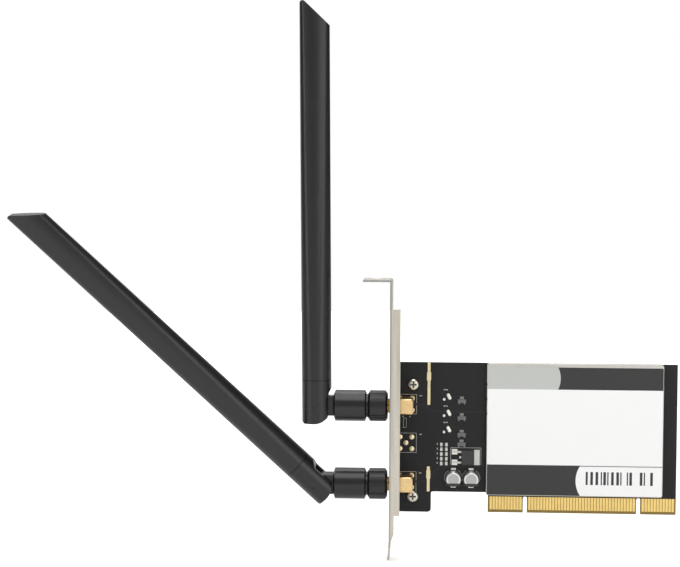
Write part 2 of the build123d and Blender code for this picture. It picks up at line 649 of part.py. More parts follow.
def hinge_fork():
    """Foot of the whip: two cheeks round the knuckle, and the spigot that holds the blade."""
    left = WHIP_OFFSET - WHIP_WIDTH / 2
    right = WHIP_OFFSET + WHIP_WIDTH / 2
    step = right - FORK_STEP
    drop = -sqrt(FORK_HEEL ** 2 - step ** 2)
    bend = (atan2(drop, step) - pi / 2) / 2
    heel = ThreePointArc((0, -FORK_HEEL), (FORK_HEEL * cos(bend), FORK_HEEL * sin(bend)), (step, drop))
    rest = Polyline(
        (step, drop), (step, FORK_STEP_TOP), (right, FORK_STEP_TOP + FORK_STEP_RISE), (right, FORK_SEAM),
        (left, FORK_SEAM), (left, FORK_CORNER - FORK_HEEL), (left + FORK_CORNER, -FORK_HEEL), (0, -FORK_HEEL))
    side = plate(make_face(heel + rest), -FAR / 2, FAR / 2)
    foot = whip_section(WHIP_WIDTH, WHIP_DEPTH, WHIP_ROUND, WHIP_CROWN, -FORK_HEEL)
    solid = extrude(foot, FORK_HEEL + FORK_SEAM - SEAM_GAP) & side
    top = FORK_SEAM + SPIGOT_LENGTH
    root = FORK_SEAM - SEAM_GAP
    solid += loft([bore_section(root, SPIGOT_FIT), bore_section(top, SPIGOT_FIT)], ruled=True)
    solid -= knuckle_pocket()
    solid -= rod_y(HINGE_PIN_R, -FAR / 2, FAR / 2, 0, 0)
    return solid - Pos(WHIP_OFFSET, 0, top / 2) * Cylinder(CABLE_BORE_R, top)


def bore_section(z, fit):
    """Section of the blade's hollow at one height, less a fit all round."""
    share = (z - FORK_SEAM) / (BLADE_LENGTH - FORK_SEAM)
    inset = 2 * (BLADE_WALL + fit)
    width = WHIP_WIDTH + (TIP_WIDTH - WHIP_WIDTH) * share - inset
    depth = WHIP_DEPTH + (TIP_DEPTH - WHIP_DEPTH) * share - inset
    crown = WHIP_CROWN + (TIP_CROWN - WHIP_CROWN) * share
    corner = WHIP_ROUND + (TIP_ROUND - WHIP_ROUND) * share - inset / 2
    corner = max(min(corner, BORE_CORNER_SHARE * (depth / 2 - crown)), BORE_CORNER)
    return whip_section(width, depth, corner, crown, z)


def tip_cut():
    """What the slanted tip takes off: above a line across the blade and a round at its high corner."""
    left = WHIP_OFFSET - TIP_WIDTH / 2 - TIP_TOUCH
    slant = radians(TIP_SLANT)
    centre = (left + TIP_CORNER, BLADE_LENGTH - TIP_CORNER)
    touch = (centre[0] + TIP_CORNER * sin(slant), centre[1] + TIP_CORNER * cos(slant))
    crown = (centre[0] - TIP_CORNER * sin(slant / 2), centre[1] + TIP_CORNER * cos(slant / 2))
    across = 2 * TIP_WIDTH
    low_end = (touch[0] + across, touch[1] - across * tan(slant))
    round_edge = ThreePointArc((left, centre[1]), crown, touch)
    rest = Polyline(
        touch, low_end, (low_end[0], BLADE_LENGTH + across), (left - across, BLADE_LENGTH + across),
        (left - across, centre[1]), (left, centre[1]))
    return plate(make_face(round_edge + rest), -FAR / 2, FAR / 2)


def hollow_top():
    """Height of the blade's hollow, below the low end of the slanted tip."""
    return BLADE_LENGTH - TIP_WIDTH * tan(radians(TIP_SLANT)) - TIP_WALL


def blade():
    """Hollow radome: round at the foot, flat at the tip, which is cut on a slant."""
    foot = whip_section(WHIP_WIDTH, WHIP_DEPTH, WHIP_ROUND, WHIP_CROWN, FORK_SEAM)
    tip = whip_section(TIP_WIDTH, TIP_DEPTH, TIP_ROUND, TIP_CROWN, BLADE_LENGTH)
    solid = loft([foot, tip], ruled=True)
    solid -= loft([bore_section(FORK_SEAM, 0), bore_section(hollow_top(), 0)], ruled=True)
    return solid - tip_cut()


def along_whip(radius, start, end):
    """A cylinder on the whip's centre line between two heights above the hinge pin."""
    return Pos(WHIP_OFFSET, 0, (start + end) / 2) * Cylinder(radius, end - start)


def blade_cable():
    """Coaxial lead from above the knuckle to the radiator's feed point."""
    return along_whip(CABLE_R, KNUCKLE_R + 2 * HINGE_GAP, RADIATOR_START + RADIATOR_TUBE_LENGTH)


def radiator_tube():
    """Lower half of the dipole: a tube crimped onto the lead at its foot."""
    top = RADIATOR_START + RADIATOR_TUBE_LENGTH
    inner = RADIATOR_TUBE_R - RADIATOR_TUBE_WALL
    solid = along_whip(RADIATOR_TUBE_R, RADIATOR_START, top)
    solid -= along_whip(inner, RADIATOR_START + RADIATOR_CRIMP, top)
    return solid - along_whip(CABLE_R, RADIATOR_START, top)


def radiator_wire():
    """Upper half of the dipole: the bare conductor above the feed point."""
    start = RADIATOR_START + RADIATOR_TUBE_LENGTH
    return along_whip(RADIATOR_WIRE_R, start, hollow_top() - RADIATOR_WIRE_GAP)


def hinge_pin():
    """Cross pin, a little shorter than the fork is deep."""
    half = WHIP_DEPTH / 2 - HINGE_PIN_INSET
    return rod_y(HINGE_PIN_R, -half, half, 0, 0)


# Shield can
def can_box(inset, near, far):
    """A block of the can's outline, drawn in on every side, between two values of Y."""
    x = (CAN_LEFT + inset, CAN_RIGHT - inset)
    z = (CAN_BOTTOM + inset, CAN_TOP - inset)
    solid = block(x, (near, far), z)
    return fillet(solid.edges().filter_by(Axis.Y), max(CAN_CORNER - inset, CAN_SHEET))


def shield_frame():
    """Fence soldered to the board, under the cover's skirt."""
    outer = CAN_SHEET + CAN_FIT
    near = CAN_FACE + FRAME_DROP
    return can_box(outer, near, FACE) - can_box(outer + CAN_SHEET, near, FACE)


def shield_cover():
    """Stamped cover with a skirt, slotted into spring fingers."""
    skirt = FACE - SKIRT_LIFT
    solid = can_box(0, CAN_FACE, skirt)
    rim = solid.faces().sort_by(Axis.Y)[0].edges()
    solid = fillet(rim, CAN_EDGE)
    solid -= can_box(CAN_SHEET, CAN_FACE + CAN_SHEET, skirt)
    half = SLOT_WIDTH / 2
    for k in range(SLOT_COUNT):
        z = CAN_TOP - SLOT_TOP - k * SLOT_PITCH
        through = (CAN_FACE - SPARE, skirt + SPARE)
        solid -= block((CAN_LEFT - SPARE, CAN_LEFT + SLOT_REACH), through, (z - half, z + half))
    depth = (CAN_FACE + FINGER_SLOT, skirt + SPARE)
    across = int((CAN_RIGHT - CAN_LEFT - 2 * SLOT_PITCH) / SLOT_PITCH)
    for k in range(across + 1):
        x = (CAN_LEFT + CAN_RIGHT) / 2 + (k - across / 2) * SLOT_PITCH
        solid -= block((x - half, x + half), depth, (CAN_BOTTOM - SPARE, CAN_TOP + SPARE))
    upwards = int((CAN_TOP - CAN_BOTTOM - 2 * SLOT_PITCH) / SLOT_PITCH)
    for k in range(upwards + 1):
        z = (CAN_BOTTOM + CAN_TOP) / 2 + (k - upwards / 2) * SLOT_PITCH
        solid -= block((CAN_RIGHT - CAN_CORNER, CAN_RIGHT + SPARE), depth, (z - half, z + half))
    return solid


def label():
    """Paper label on the cover's face, up to a bare band along its upper edge."""
    x = (CAN_LEFT + LABEL_MARGIN, CAN_RIGHT - LABEL_MARGIN)
    z = (CAN_BOTTOM + LABEL_MARGIN, CAN_TOP - LABEL_TOP_MARGIN)
    solid = block(x, (CAN_FACE - LABEL_THICKNESS, CAN_FACE), z)
    return fillet(solid.edges().filter_by(Axis.Y), LABEL_CORNER)


def in_can(x, z, length, width, height):
    """A box on the board, placed from the can's lower left corner."""
    return on_board(CAN_LEFT + x, CAN_BOTTOM + z, length, width, height)


def inner_chips(size, places):
    """Square chips on the board, inside the can."""
    return [in_can(x, z, size, size, CHIP_HEIGHT) for x, z in places]


def inner_capacitors():
    """A grid of small capacitors inside the can."""
    places = [(INNER_PLACE[0] + column * INNER_PITCH, INNER_PLACE[1] - row * INNER_PITCH)
              for column in range(INNER_COLUMNS) for row in range(INNER_ROWS)]
    return [in_can(x, z, *INNER_SIZE) for x, z in places]


# Parts on the bare board
def regulator_body():
    """Moulded body on the frame, with drafted sides."""
    x = REGULATOR_X - HALF_TAB
    base = Pos(x, FACE - REGULATOR_SHEET, REGULATOR_Z) * Rot(90, 0, 0) * Rectangle(
        REGULATOR_LENGTH, REGULATOR_WIDTH)
    crown = Pos(x, FACE - REGULATOR_HEIGHT, REGULATOR_Z) * Rot(90, 0, 0) * Rectangle(
        REGULATOR_LENGTH - 2 * REGULATOR_DRAFT, REGULATOR_WIDTH - 2 * REGULATOR_DRAFT)
    return loft([base, crown], ruled=True)


def regulator_frame():
    """Tab under the body, two long leads and the cut middle lead, on their tinned lands."""
    left = REGULATOR_X - HALF_TAB - REGULATOR_LENGTH / 2
    right = left + REGULATOR_LENGTH
    depth = (FACE - REGULATOR_SHEET, FACE - PLATING)
    half = REGULATOR_WIDTH / 2
    solid = block((left, right + REGULATOR_TAB), depth, (REGULATOR_Z - half, REGULATOR_Z + half))
    for side in (-1, 1):
        z = REGULATOR_Z + side * REGULATOR_LEAD_PITCH
        solid += block((left - REGULATOR_LEAD, left), depth,
                       (z - REGULATOR_LEAD_WIDTH / 2, z + REGULATOR_LEAD_WIDTH / 2))
    return solid + block((left - REGULATOR_STUB, left), depth,
                         (REGULATOR_Z - REGULATOR_LEAD_WIDTH / 2, REGULATOR_Z + REGULATOR_LEAD_WIDTH / 2))


def capacitor_places():
    """Centre of each electrolytic capacitor."""
    return [(x - HALF_TAB, CAPACITOR_Z) for x in CAPACITOR_XS]


def capacitor_bases():
    """Moulded bases, with the two corners of the positive end cut off."""
    bases = []
    for x, z in capacitor_places():
        half = CAPACITOR_BASE / 2
        square = Pos(x, z) * Rectangle(CAPACITOR_BASE, CAPACITOR_BASE)
        upper = corners_at(square, (x - half, z + half), (x + half, z + half))
        square = chamfer(upper, CAPACITOR_BASE_CORNER)
        low = FACE - CAPACITOR_LEAD_SHEET
        bases.append(plate(square, low - CAPACITOR_BASE_HEIGHT, low))
    return bases


def capacitor_cans():
    """Drawn cans with a rounded top edge and the crimp above the base."""
    cans = []
    for x, z in capacitor_places():
        foot = FACE - CAPACITOR_LEAD_SHEET - CAPACITOR_BASE_HEIGHT
        top = FACE - CAPACITOR_HEIGHT
        crimp = foot - 2 * CAPACITOR_CRIMP
        profile = Polygon(
            (0, foot), (CAPACITOR_R, foot), (CAPACITOR_R, crimp),
            (CAPACITOR_R - CAPACITOR_CRIMP, crimp - CAPACITOR_CRIMP),
            (CAPACITOR_R, crimp - 2 * CAPACITOR_CRIMP), (CAPACITOR_R, top), (0, top), align=None)
        profile = fillet(corners_at(profile, (CAPACITOR_R, top)), CAPACITOR_EDGE)
        cans.append(Pos(x, 0, z) * revolve(profile, Axis.Y))
    return cans


def capacitor_leads():
    """Flat leads under each base, out at its upper and lower ends."""
    leads = []
    reach = CAPACITOR_BASE / 2 + CAPACITOR_LEAD_TIP
    half = CAPACITOR_LEAD_WIDTH / 2
    for x, z in capacitor_places():
        for side in (-1, 1):
            ends = sorted((z + side * half, z + side * reach))
            leads.append(block((x - half, x + half), (FACE - CAPACITOR_LEAD_SHEET, FACE), ends))
    return leads


def resistor_row():
    """A column of chip parts, lying across it."""
    low = RESISTOR_Z - (RESISTOR_COUNT - 1) * RESISTOR_PITCH / 2
    size = (RESISTOR_LENGTH, RESISTOR_WIDTH, RESISTOR_HEIGHT)
    return [on_board(RESISTOR_X - HALF_TAB, low + k * RESISTOR_PITCH, *size) for k in range(RESISTOR_COUNT)]


def transistors():
    """Small three-legged parts: a broad leg up and two narrow ones down."""
    found = []
    legs = [(0, 1, TRANSISTOR_TAB_WIDTH, TRANSISTOR_TAB)]
    legs += [(side * TRANSISTOR_LEAD_PITCH, -1, TRANSISTOR_LEAD_WIDTH, TRANSISTOR_LEAD) for side in (-1, 1)]
    for z in TRANSISTOR_ZS:
        x = TRANSISTOR_X - HALF_TAB
        solid = on_board(x, z, TRANSISTOR_LENGTH, TRANSISTOR_WIDTH, TRANSISTOR_HEIGHT)
        for shift, side, width, length in legs:
            reach = TRANSISTOR_WIDTH / 2 + length
            solid += on_board(x + shift, z + side * reach / 2, width, reach, TRANSISTOR_LEAD_SHEET)
        found.append(solid)
    return found


def component_pads():
    """Bare tinned lands: the regulator's, and the slanted and round ones of parts left off."""
    lands = []
    left = REGULATOR_X - HALF_TAB - REGULATOR_LENGTH / 2 - REGULATOR_LEAD
    for side in (-1, 1):
        z = REGULATOR_Z + side * REGULATOR_LEAD_PITCH
        half = REGULATOR_LEAD_PITCH / 2
        lands.append(block((left, left + REGULATOR_LAND), (FACE - PLATING, FACE), (z - half, z + half)))
    right = REGULATOR_X - HALF_TAB + REGULATOR_LENGTH / 2
    half = REGULATOR_WIDTH / 2
    lands.append(block((right - REGULATOR_TAB, right + REGULATOR_TAB), (FACE - PLATING, FACE),
                       (REGULATOR_Z - half, REGULATOR_Z + half)))
    for z in LAND_ZS:
        x = LAND_X - HALF_TAB
        slot = Pos(x, z) * Rot(0, 0, 90 + LAND_SLANT) * SlotOverall(LAND_LENGTH, LAND_WIDTH)
        lands.append(plate(slot, FACE - PLATING, FACE))
        lands.append(rod_y(LAND_DOT_R, FACE - PLATING, FACE, x + LAND_DOT[0], z + LAND_DOT[1]))
    return lands


def save_antenna(name, z):
    """Write one antenna's pieces at its jack, with the whip at its own tilt and swivel."""
    tilt, swivel = WHIP_POSES[name]
    axis = Pos(0, AXIS_Y, z)
    turned = axis * Rot(swivel, 0, 0)
    hinged = Pos(PIVOT_X, AXIS_Y, z) * Rot(swivel, 0, 0) * Rot(0, -tilt, 0)
    for piece in (nut_insert, coupling_nut, plug_body, plug_socket, plug_insulator):
        save(f"{name}_{piece.__name__}", axis * piece())
    for piece in (swivel_sleeve, sleeve_cable):
        save(f"{name}_{piece.__name__}", turned * piece())
    for piece in (hinge_pin, hinge_fork, blade, blade_cable, radiator_tube, radiator_wire):
        save(f"{name}_{piece.__name__}", hinged * piece())


def main():
    os.makedirs("parts", exist_ok=True)
    save("circuit_board", board())
    save("edge_contacts", *edge_contacts())
    save("ground_strips", *ground_strips())
    save("empty_jack_pads", *empty_jack_pads())
    save("jack_pads", *jack_pads())
    save("component_pads", *component_pads())
    save("bracket", bracket())
    save("bracket_screws", *bracket_screws())
    save("shield_frame", shield_frame())
    save("shield_cover", shield_cover())
    save("label", label())
    save("baseband_chip", *inner_chips(BASEBAND_SIZE, [BASEBAND_PLACE]))
    save("radio_chip", *inner_chips(RADIO_SIZE, [RADIO_PLACE]))
    save("amplifier_chips", *inner_chips(AMPLIFIER_SIZE, [(AMPLIFIER_X, z) for z in AMPLIFIER_ZS]))
    save("crystal_can", in_can(*CRYSTAL_PLACE, *CRYSTAL_SIZE))
    save("inner_capacitors", *inner_capacitors())
    save("regulator_body", regulator_body())
    save("regulator_frame", regulator_frame())
    save("capacitor_cans", *capacitor_cans())
    save("capacitor_bases", *capacitor_bases())
    save("capacitor_leads", *capacitor_leads())
    save("resistor_row", *resistor_row())
    save("transistors", *transistors())
    for name, z in JACK_HEIGHTS.items():
        save(f"{name}_jack_body", jack_body(z))
        save(f"{name}_jack_insulator", jack_insulator(z))
        save(f"{name}_jack_pin", jack_pin(z))
        save_antenna(name, z)


main()
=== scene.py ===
"""Looks of a wireless network card: finishes for its solids, and the fine pieces that lie on them.

Shapes are worked out in millimetres and put into Blender in metres, in the shared frame: X along the card
away from the bracket, Z up, and the component side facing -Y.
"""

import math
from functools import partial

import bmesh
import bpy
import numpy as np
from bpy.props import FloatProperty, FloatVectorProperty, PointerProperty
from bpy.types import Operator, Panel, PropertyGroup
from mathutils import Matrix, Vector


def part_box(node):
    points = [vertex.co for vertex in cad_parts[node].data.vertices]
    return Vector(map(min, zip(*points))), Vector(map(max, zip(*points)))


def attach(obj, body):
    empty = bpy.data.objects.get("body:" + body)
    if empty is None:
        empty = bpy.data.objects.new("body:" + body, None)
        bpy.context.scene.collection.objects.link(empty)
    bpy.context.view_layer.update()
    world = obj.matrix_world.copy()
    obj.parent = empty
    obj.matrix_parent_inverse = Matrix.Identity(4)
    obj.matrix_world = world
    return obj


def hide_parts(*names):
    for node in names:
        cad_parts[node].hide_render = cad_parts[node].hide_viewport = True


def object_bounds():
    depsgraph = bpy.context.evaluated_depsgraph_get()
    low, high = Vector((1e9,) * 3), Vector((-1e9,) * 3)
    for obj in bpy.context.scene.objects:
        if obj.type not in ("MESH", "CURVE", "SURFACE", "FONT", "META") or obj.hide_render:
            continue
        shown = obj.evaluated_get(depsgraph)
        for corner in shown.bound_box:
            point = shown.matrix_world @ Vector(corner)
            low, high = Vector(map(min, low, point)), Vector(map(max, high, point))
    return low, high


bl_info = {
    "name": "Wireless network card",
    "version": (1, 0, 0),
    "blender": (4, 5, 0),
    "location": "3D View > Sidebar > Network card",
    "description": "Dresses a network card with two swivel antennas and sets it on a white stage",
    "category": "Object",
}

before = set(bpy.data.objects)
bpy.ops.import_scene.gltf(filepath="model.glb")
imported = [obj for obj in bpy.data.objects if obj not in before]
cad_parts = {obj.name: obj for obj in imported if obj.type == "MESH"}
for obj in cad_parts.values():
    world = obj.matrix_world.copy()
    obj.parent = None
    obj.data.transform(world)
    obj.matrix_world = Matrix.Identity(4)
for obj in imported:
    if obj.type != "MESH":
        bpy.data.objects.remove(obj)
CAD_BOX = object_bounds()
MM = 0.001
SHARP_ANGLE = math.radians(32)
ANTENNAS = ("upper", "lower")


# Places read from the frame, in millimetres
def corners(node):
    """Lowest and highest corner of a CAD node, in millimetres."""
    low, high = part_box(node)
    return np.array(low) / MM, np.array(high) / MM


BOARD_LOW, BOARD_HIGH = corners("circuit_board")
FACE, BACK = BOARD_LOW[1], BOARD_HIGH[1]
CAN_LOW = corners("shield_cover")[0]
LABEL_LOW, LABEL_HIGH = corners("label")
FINGER_LOW, FINGER_HIGH = corners("edge_contacts")
CAPACITOR_LOW, CAPACITOR_HIGH = corners("capacitor_cans")
CAPACITOR_RADIUS = (CAPACITOR_HIGH[2] - CAPACITOR_LOW[2]) / 2
CAPACITOR_MIDDLE_Z = (CAPACITOR_HIGH[2] + CAPACITOR_LOW[2]) / 2
RESISTOR_LOW, RESISTOR_HIGH = corners("resistor_row")
REGULATOR_LOW, REGULATOR_HIGH = corners("regulator_body")
EMPTY_JACK_LOW, EMPTY_JACK_HIGH = corners("empty_jack_pads")
SCREW_LOW, SCREW_HIGH = corners("bracket_screws")
BRACKET_LOW = corners("bracket")[0]
JACK_BOXES = {name: corners(f"{name}_jack_body") for name in ANTENNAS}
JACK_ROWS = [(low[2] + high[2]) / 2 for low, high in (
    JACK_BOXES["upper"], (EMPTY_JACK_LOW, EMPTY_JACK_HIGH), JACK_BOXES["lower"])]
JACK_MIDDLE_X = (EMPTY_JACK_LOW[0] + EMPTY_JACK_HIGH[0]) / 2

# Finishes that change from place to place, in millimetres
TAB_MARGIN = 1.0  # bare laminate beyond the outermost contacts
# A screw's cross recess is painted darker, grime together with painted shade
RECESS_RADIUS = 1.5  # round a screw's cross
RECESS_LIP = 0.2  # clean metal at the cross's mouth
CUT_EDGE_GAP = 0.7  # from the board's end to the bracket's sheared edge
CUT_EDGE_DEPTH = 0.1
CAN_TOP_DEPTH = 0.4  # of a capacitor, where its mark is printed
# The capacitor top's outer ring is a painted highlight, lighter between these shares of its radius
CAN_RIM = (0.7, 0.85)  # shares of its radius between which the top turns bright

# Label print, in millimetres from the label's left and upper edges unless said otherwise
HEADER_DEPTH = 9.45
GREY_END = 30.9
GREY_ROUND = 11.1
FOOTER_HEIGHT = 13.0  # above the label's lower edge
FOOTER_END = 37.7
FOOTER_ROUND = 11.85
RULE_WIDTH = 0.45
BARS_X = (42.0, 70.6)
BARS_Z = (13.0, 18.6)  # heights in the frame

# Bare lands and jack holes, in millimetres
SLANTED_LANDS = [(-57.005, z) for z in (35.7, 42.75, 49.8)]
LAND_STRAIGHT = 1.45
LAND_RADIUS = 0.7
LAND_SLANT = 117.0  # degrees
LAND_DOT = (-2.1, -1.25)  # small land, from the slanted one
DOT_RADIUS = 0.6
DOME_RISES = (0, 22, 45, 66, 82)  # degrees
DOME_SPOKES = 24
JACK_PAD_RADIUS = 1.12
JACK_HOLES = ((-1, -1), (1, -1), (-1, 1), (1, 1), (0, 0))

# Printed outlines, in millimetres
JACK_OUTLINE = (4.6, 4.5, 4.2)  # reach to the left, to the right and up
TICK = (1.2, -0.5, 1.1)  # place from the outline's upper right corner, and length
REGULATOR_MARGIN = (4.6, 2.9, 0.75)  # to the left, to the right and up
REGULATOR_CORNER = 0.3
ARC_SHARE = 1.2  # of the capacitor's radius
ARC_SPANS = ((-58, 58), (122, 238))  # degrees
ARC_STEPS = 24
DASH_GAP = 1.2  # from the resistors to their dashes
DASH_FIRST, DASH_PITCH, DASH_COUNT = 0.9, 2.05, 5
DASH_LENGTH = 0.9
LAND_BARS = ((-2.3, -1.55), (-1.3, -0.55))
LAND_BAR_RISE = 2.9
UNFITTED_PART = ((-76.49, 36.19), (-75.25, 40.28))
UNFITTED_CORNER = 0.15
UNFITTED_DOTS = ((-76.7, 41.0), (-73.7, 41.0))
INK_DOT_RADIUS = 0.3
BOLD = 2  # width of a dash, in widths of an outline
LAND_BOLD = 2.5

# Covered traces and vias, in millimetres
PIN_PITCH = 1.27
PIN_COUNT = 62
TAB_LEFT = -(PIN_COUNT + 1) * PIN_PITCH / 2
BARE_PIN = 3  # every third pin has no trace
BEND_HEIGHT = 10.5
BEND_LANE = 0.35  # further up for each millimetre from the middle
SLANT_LEAST, SLANT_STEP, SLANT_CYCLE = 6, 0.55, 5
RUN_LEAST, RUN_STEP, RUN_CYCLE = 4, 2.3, 4
TRACE_LAP = 0.2  # under a contact's upper end
FEEDS = ((JACK_ROWS[0], -3.0), (JACK_ROWS[2], 7.0))  # height at the jack, and rise to the can
FEED_START, FEED_BEND = 3.4, 8.0  # from the jack's middle
FEED_BOLD = 3  # width, in widths of a trace
VIA_GRID = (np.arange(-36, 38, 6.0), np.arange(34, 62, 6.5))
STITCH_GAP = 1.2  # from the can's left side
STITCH_HEIGHTS = np.linspace(11, 59, 9)
VIA_PROFILE = np.array([(0, 1), (1, 0.8), (0.5, 0.3)])  # shares of a via's height and radius

# Jacks, in millimetres
JACK_BLOCK_LENGTH = 6.0
JACK_CORNER = 0.7
JACK_BREAK = 0.3  # broken front edge
JACK_STAND = 0.05  # off the board
JACK_LEG_RADIUS = 0.55
JACK_LEG_REACH = 2.54
JACK_LEG_SINK = 0.1  # into the block
JACK_LEG_BREAK = 0.2
THREAD_RADIUS = 3.175
BORE_RADIUS = 2.3
THREAD_LEAD_IN = 0.4
THREAD_SPOKES = 72
THREAD_ROWS = 12  # in each turn

# Stage, in metres: each lamp's name, power setting, place and size
LAMPS = (
    ("top_softbox", "top_power", (-0.1, -0.05, 1.05), (0.5, 1.9)),
    ("left_strip", "left_power", (-0.95, -0.77, 0.15), (0.28, 1.2)),
    ("right_panel", "right_power", (0.45, -1.0, 0.15), (0.62, 1.2)),
)
FLOOR_RADII = (0.02, 1.5)
FLOOR_RINGS, FLOOR_SPOKES = 40, 48
FLOOR_GAP = 0.0002  # below the card
NEAR_CLIP = 0.01
SENSOR_WIDTH = 36.0  # millimetres


# What several nodes share
RGBA = {"data_type": "RGBA"}
SMOOTH = {"interpolation_type": "SMOOTHSTEP"}
WAVE_LENGTH = 2 * math.pi / 20  # of a wave texture at scale 1


# Colours and node trees
def linear(hex_colour):
    """An sRGB hex colour as linear red, green and blue."""
    srgb = np.array([int(hex_colour[k:k + 2], 16) for k in (0, 2, 4)]) / 255
    return tuple(np.where(srgb <= 0.04045, srgb / 12.92, ((srgb + 0.055) / 1.055) ** 2.4))


def per_mm(size):
    """Scale that gives a pattern features of this size in millimetres, on Object coordinates in metres."""
    return 1 / (size * MM)


def put(tree, kind, settings=(), inputs=(), out=0):
    """Add a node, set its attributes, give each input a value or a link, and return one of its outputs.

    The kind leaves out the ShaderNode that starts every type's name.  A bare word as settings is the
    operation.  A colour may leave out its opacity.
    """
    added = tree.nodes.new(f"ShaderNode{kind}")
    if isinstance(settings, str):
        settings = {"operation": settings}
    for name, value in dict(settings).items():
        setattr(added, name, value)
    for name, value in dict(inputs).items():
        socket = added.inputs[name]
        if isinstance(value, bpy.types.NodeSocket):
            tree.links.new(value, socket)
        else:
            socket.default_value = (*value, 1.0)[:4] if socket.type == "RGBA" else value
    return added.outputs[out] if len(added.outputs) else None


def begin(name):
    """A new material, emptied, the function that adds nodes to it, and its Object coordinates."""
    material = bpy.data.materials.get(name) or bpy.data.materials.new(name)
    material.use_nodes = True
    material.node_tree.nodes.clear()
    add = partial(put, material.node_tree)
    return material, add, add("TexCoord", out="Object")


def end(material, add, inputs):
    """Close a tree with its shader and the output."""
    surface = add("BsdfPrincipled", (), inputs)
    add("OutputMaterial", (), {"Surface": surface})
    return material


def shaded(add, colour, pattern, least, most):
    """A colour made darker and lighter by a pattern, between two shares of itself."""
    shade = add("MapRange", (), {"Value": pattern, "To Min": least, "To Max": most})
    return add("VectorMath", "SCALE", {0: colour, "Scale": shade})


# Finishes
def cured_solder_mask(name, colour, laminate, sheen):
    """Black solder mask, screened over glass cloth and cured: soft gloss, faint weave, slow flow marks.

    The mask stops above the contacts, so that between and below them the bare tan laminate shows.
    """
    material, add, place = begin(name)
    flow = add("TexNoise", (), {"Vector": place, "Scale": per_mm(7), "Detail": 3.0})
    # The cloth's real pitch is about 0.5 mm, drawn here at 1.1 mm so that it shows
    warp, weft = (add("TexWave", {"bands_direction": axis}, {
        "Vector": place, "Scale": WAVE_LENGTH * per_mm(1.1)}, 1) for axis in "XZ")
    weave = add("Math", "MULTIPLY", {0: warp, 1: weft})
    x, z = (add("SeparateXYZ", (), {0: place}, axis) for axis in "XZ")
    below = add("Math", "LESS_THAN", {0: z, 1: FINGER_HIGH[2] * MM})
    on_tab = add("Math", "GREATER_THAN", {0: x, 1: (FINGER_LOW[0] - TAB_MARGIN) * MM})
    bare = add("Math", "MULTIPLY", {0: below, 1: on_tab})
    stock = add("Mix", RGBA, {0: bare, 6: colour, 7: laminate}, 2)
    tint = shaded(add, stock, flow, 0.8, 1.25)
    rough = add("MapRange", (), {"Value": flow, "To Min": sheen - 0.06, "To Max": sheen + 0.08})
    bump = add("Bump", (), {"Strength": 0.25, "Distance": 0.01 * MM, "Height": weave})
    return end(material, add, {
        "Base Color": tint, "Roughness": rough, "IOR": 1.5, "Specular IOR Level": 0.25, "Normal": bump})


def plated_metal(name, colour, roughness, streak, depth):
    """Gold or tin plating over a worked base: clear reflections, clouded a little and wiped along Z."""
    material, add, place = begin(name)
    stretched = add("Mapping", (), {"Vector": place, "Scale": [per_mm(s) for s in streak]})
    wiped = add("TexNoise", (), {"Vector": stretched, "Scale": 1.0, "Detail": 4.0})
    cloud = add("TexNoise", (), {"Vector": place, "Scale": per_mm(2.5), "Detail": 2.0})
    tint = shaded(add, colour, cloud, 0.86, 1.1)
    rough = add("MapRange", (), {"Value": wiped, "To Min": roughness - 0.08, "To Max": roughness + 0.12})
    bump = add("Bump", (), {"Strength": 0.2, "Distance": depth * MM, "Height": wiped})
    return end(material, add, {"Base Color": tint, "Metallic": 1.0, "Roughness": rough, "Normal": bump})


def brushed_nickel_plate(name, colour, cut):
    """Nickel-plated steel, brushed lengthwise: fine upright lines over slow streaks, a dull sheared edge."""
    material, add, place = begin(name)
    # The brush lines are about 0.1 mm wide, drawn at 0.35 mm so that they show
    brushed = []
    for width, reach, detail in ((0.35, 18, 5.0), (1.6, 45, 2.0)):
        scale = (per_mm(width), per_mm(width), per_mm(reach))
        drawn_out = add("Mapping", (), {"Vector": place, "Scale": scale})
        brushed.append(add("TexNoise", (), {"Vector": drawn_out, "Scale": 1.0, "Detail": detail}))
    lines, streaks = brushed
    mixed = add("Math", "MULTIPLY_ADD", {0: lines, 1: 0.5, 2: streaks})
    shade = add("MapRange", (), {
        "Value": mixed, "From Min": 0.45, "From Max": 1.05, "To Min": 0.82, "To Max": 1.1})
    x, y = (add("SeparateXYZ", (), {0: place}, axis) for axis in "XY")
    outer = add("Math", "LESS_THAN", {0: x, 1: (BOARD_LOW[0] - CUT_EDGE_GAP) * MM})
    front = add("Math", "LESS_THAN", {0: y, 1: (BRACKET_LOW[1] + CUT_EDGE_DEPTH) * MM})
    edge = add("Math", "MULTIPLY", {0: outer, 1: front})
    sheet = add("Mix", RGBA, {0: edge, 6: colour, 7: cut}, 2)
    tint = add("VectorMath", "SCALE", {0: sheet, "Scale": shade})
    rough = add("MapRange", (), {"Value": lines, "To Min": 0.3, "To Max": 0.5})
    bump = add("Bump", (), {"Strength": 0.3, "Distance": 0.02 * MM, "Height": lines})
    return end(material, add, {"Base Color": tint, "Metallic": 1.0, "Roughness": rough, "Normal": bump})


def tinned_sheet(name, colour):
    """Tin-plated sheet steel, rolled and stamped: a pale satin with faint crystal patches."""
    material, add, place = begin(name)
    crystal = add("TexVoronoi", (), {"Vector": place, "Scale": per_mm(4)}, "Color")
    value = add("SeparateColor", (), {"Color": crystal})
    rough = add("MapRange", (), {"Value": value, "To Min": 0.32, "To Max": 0.46})
    tint = shaded(add, colour, value, 0.94, 1.04)
    return end(material, add, {"Base Color": tint, "Metallic": 1.0, "Roughness": rough})


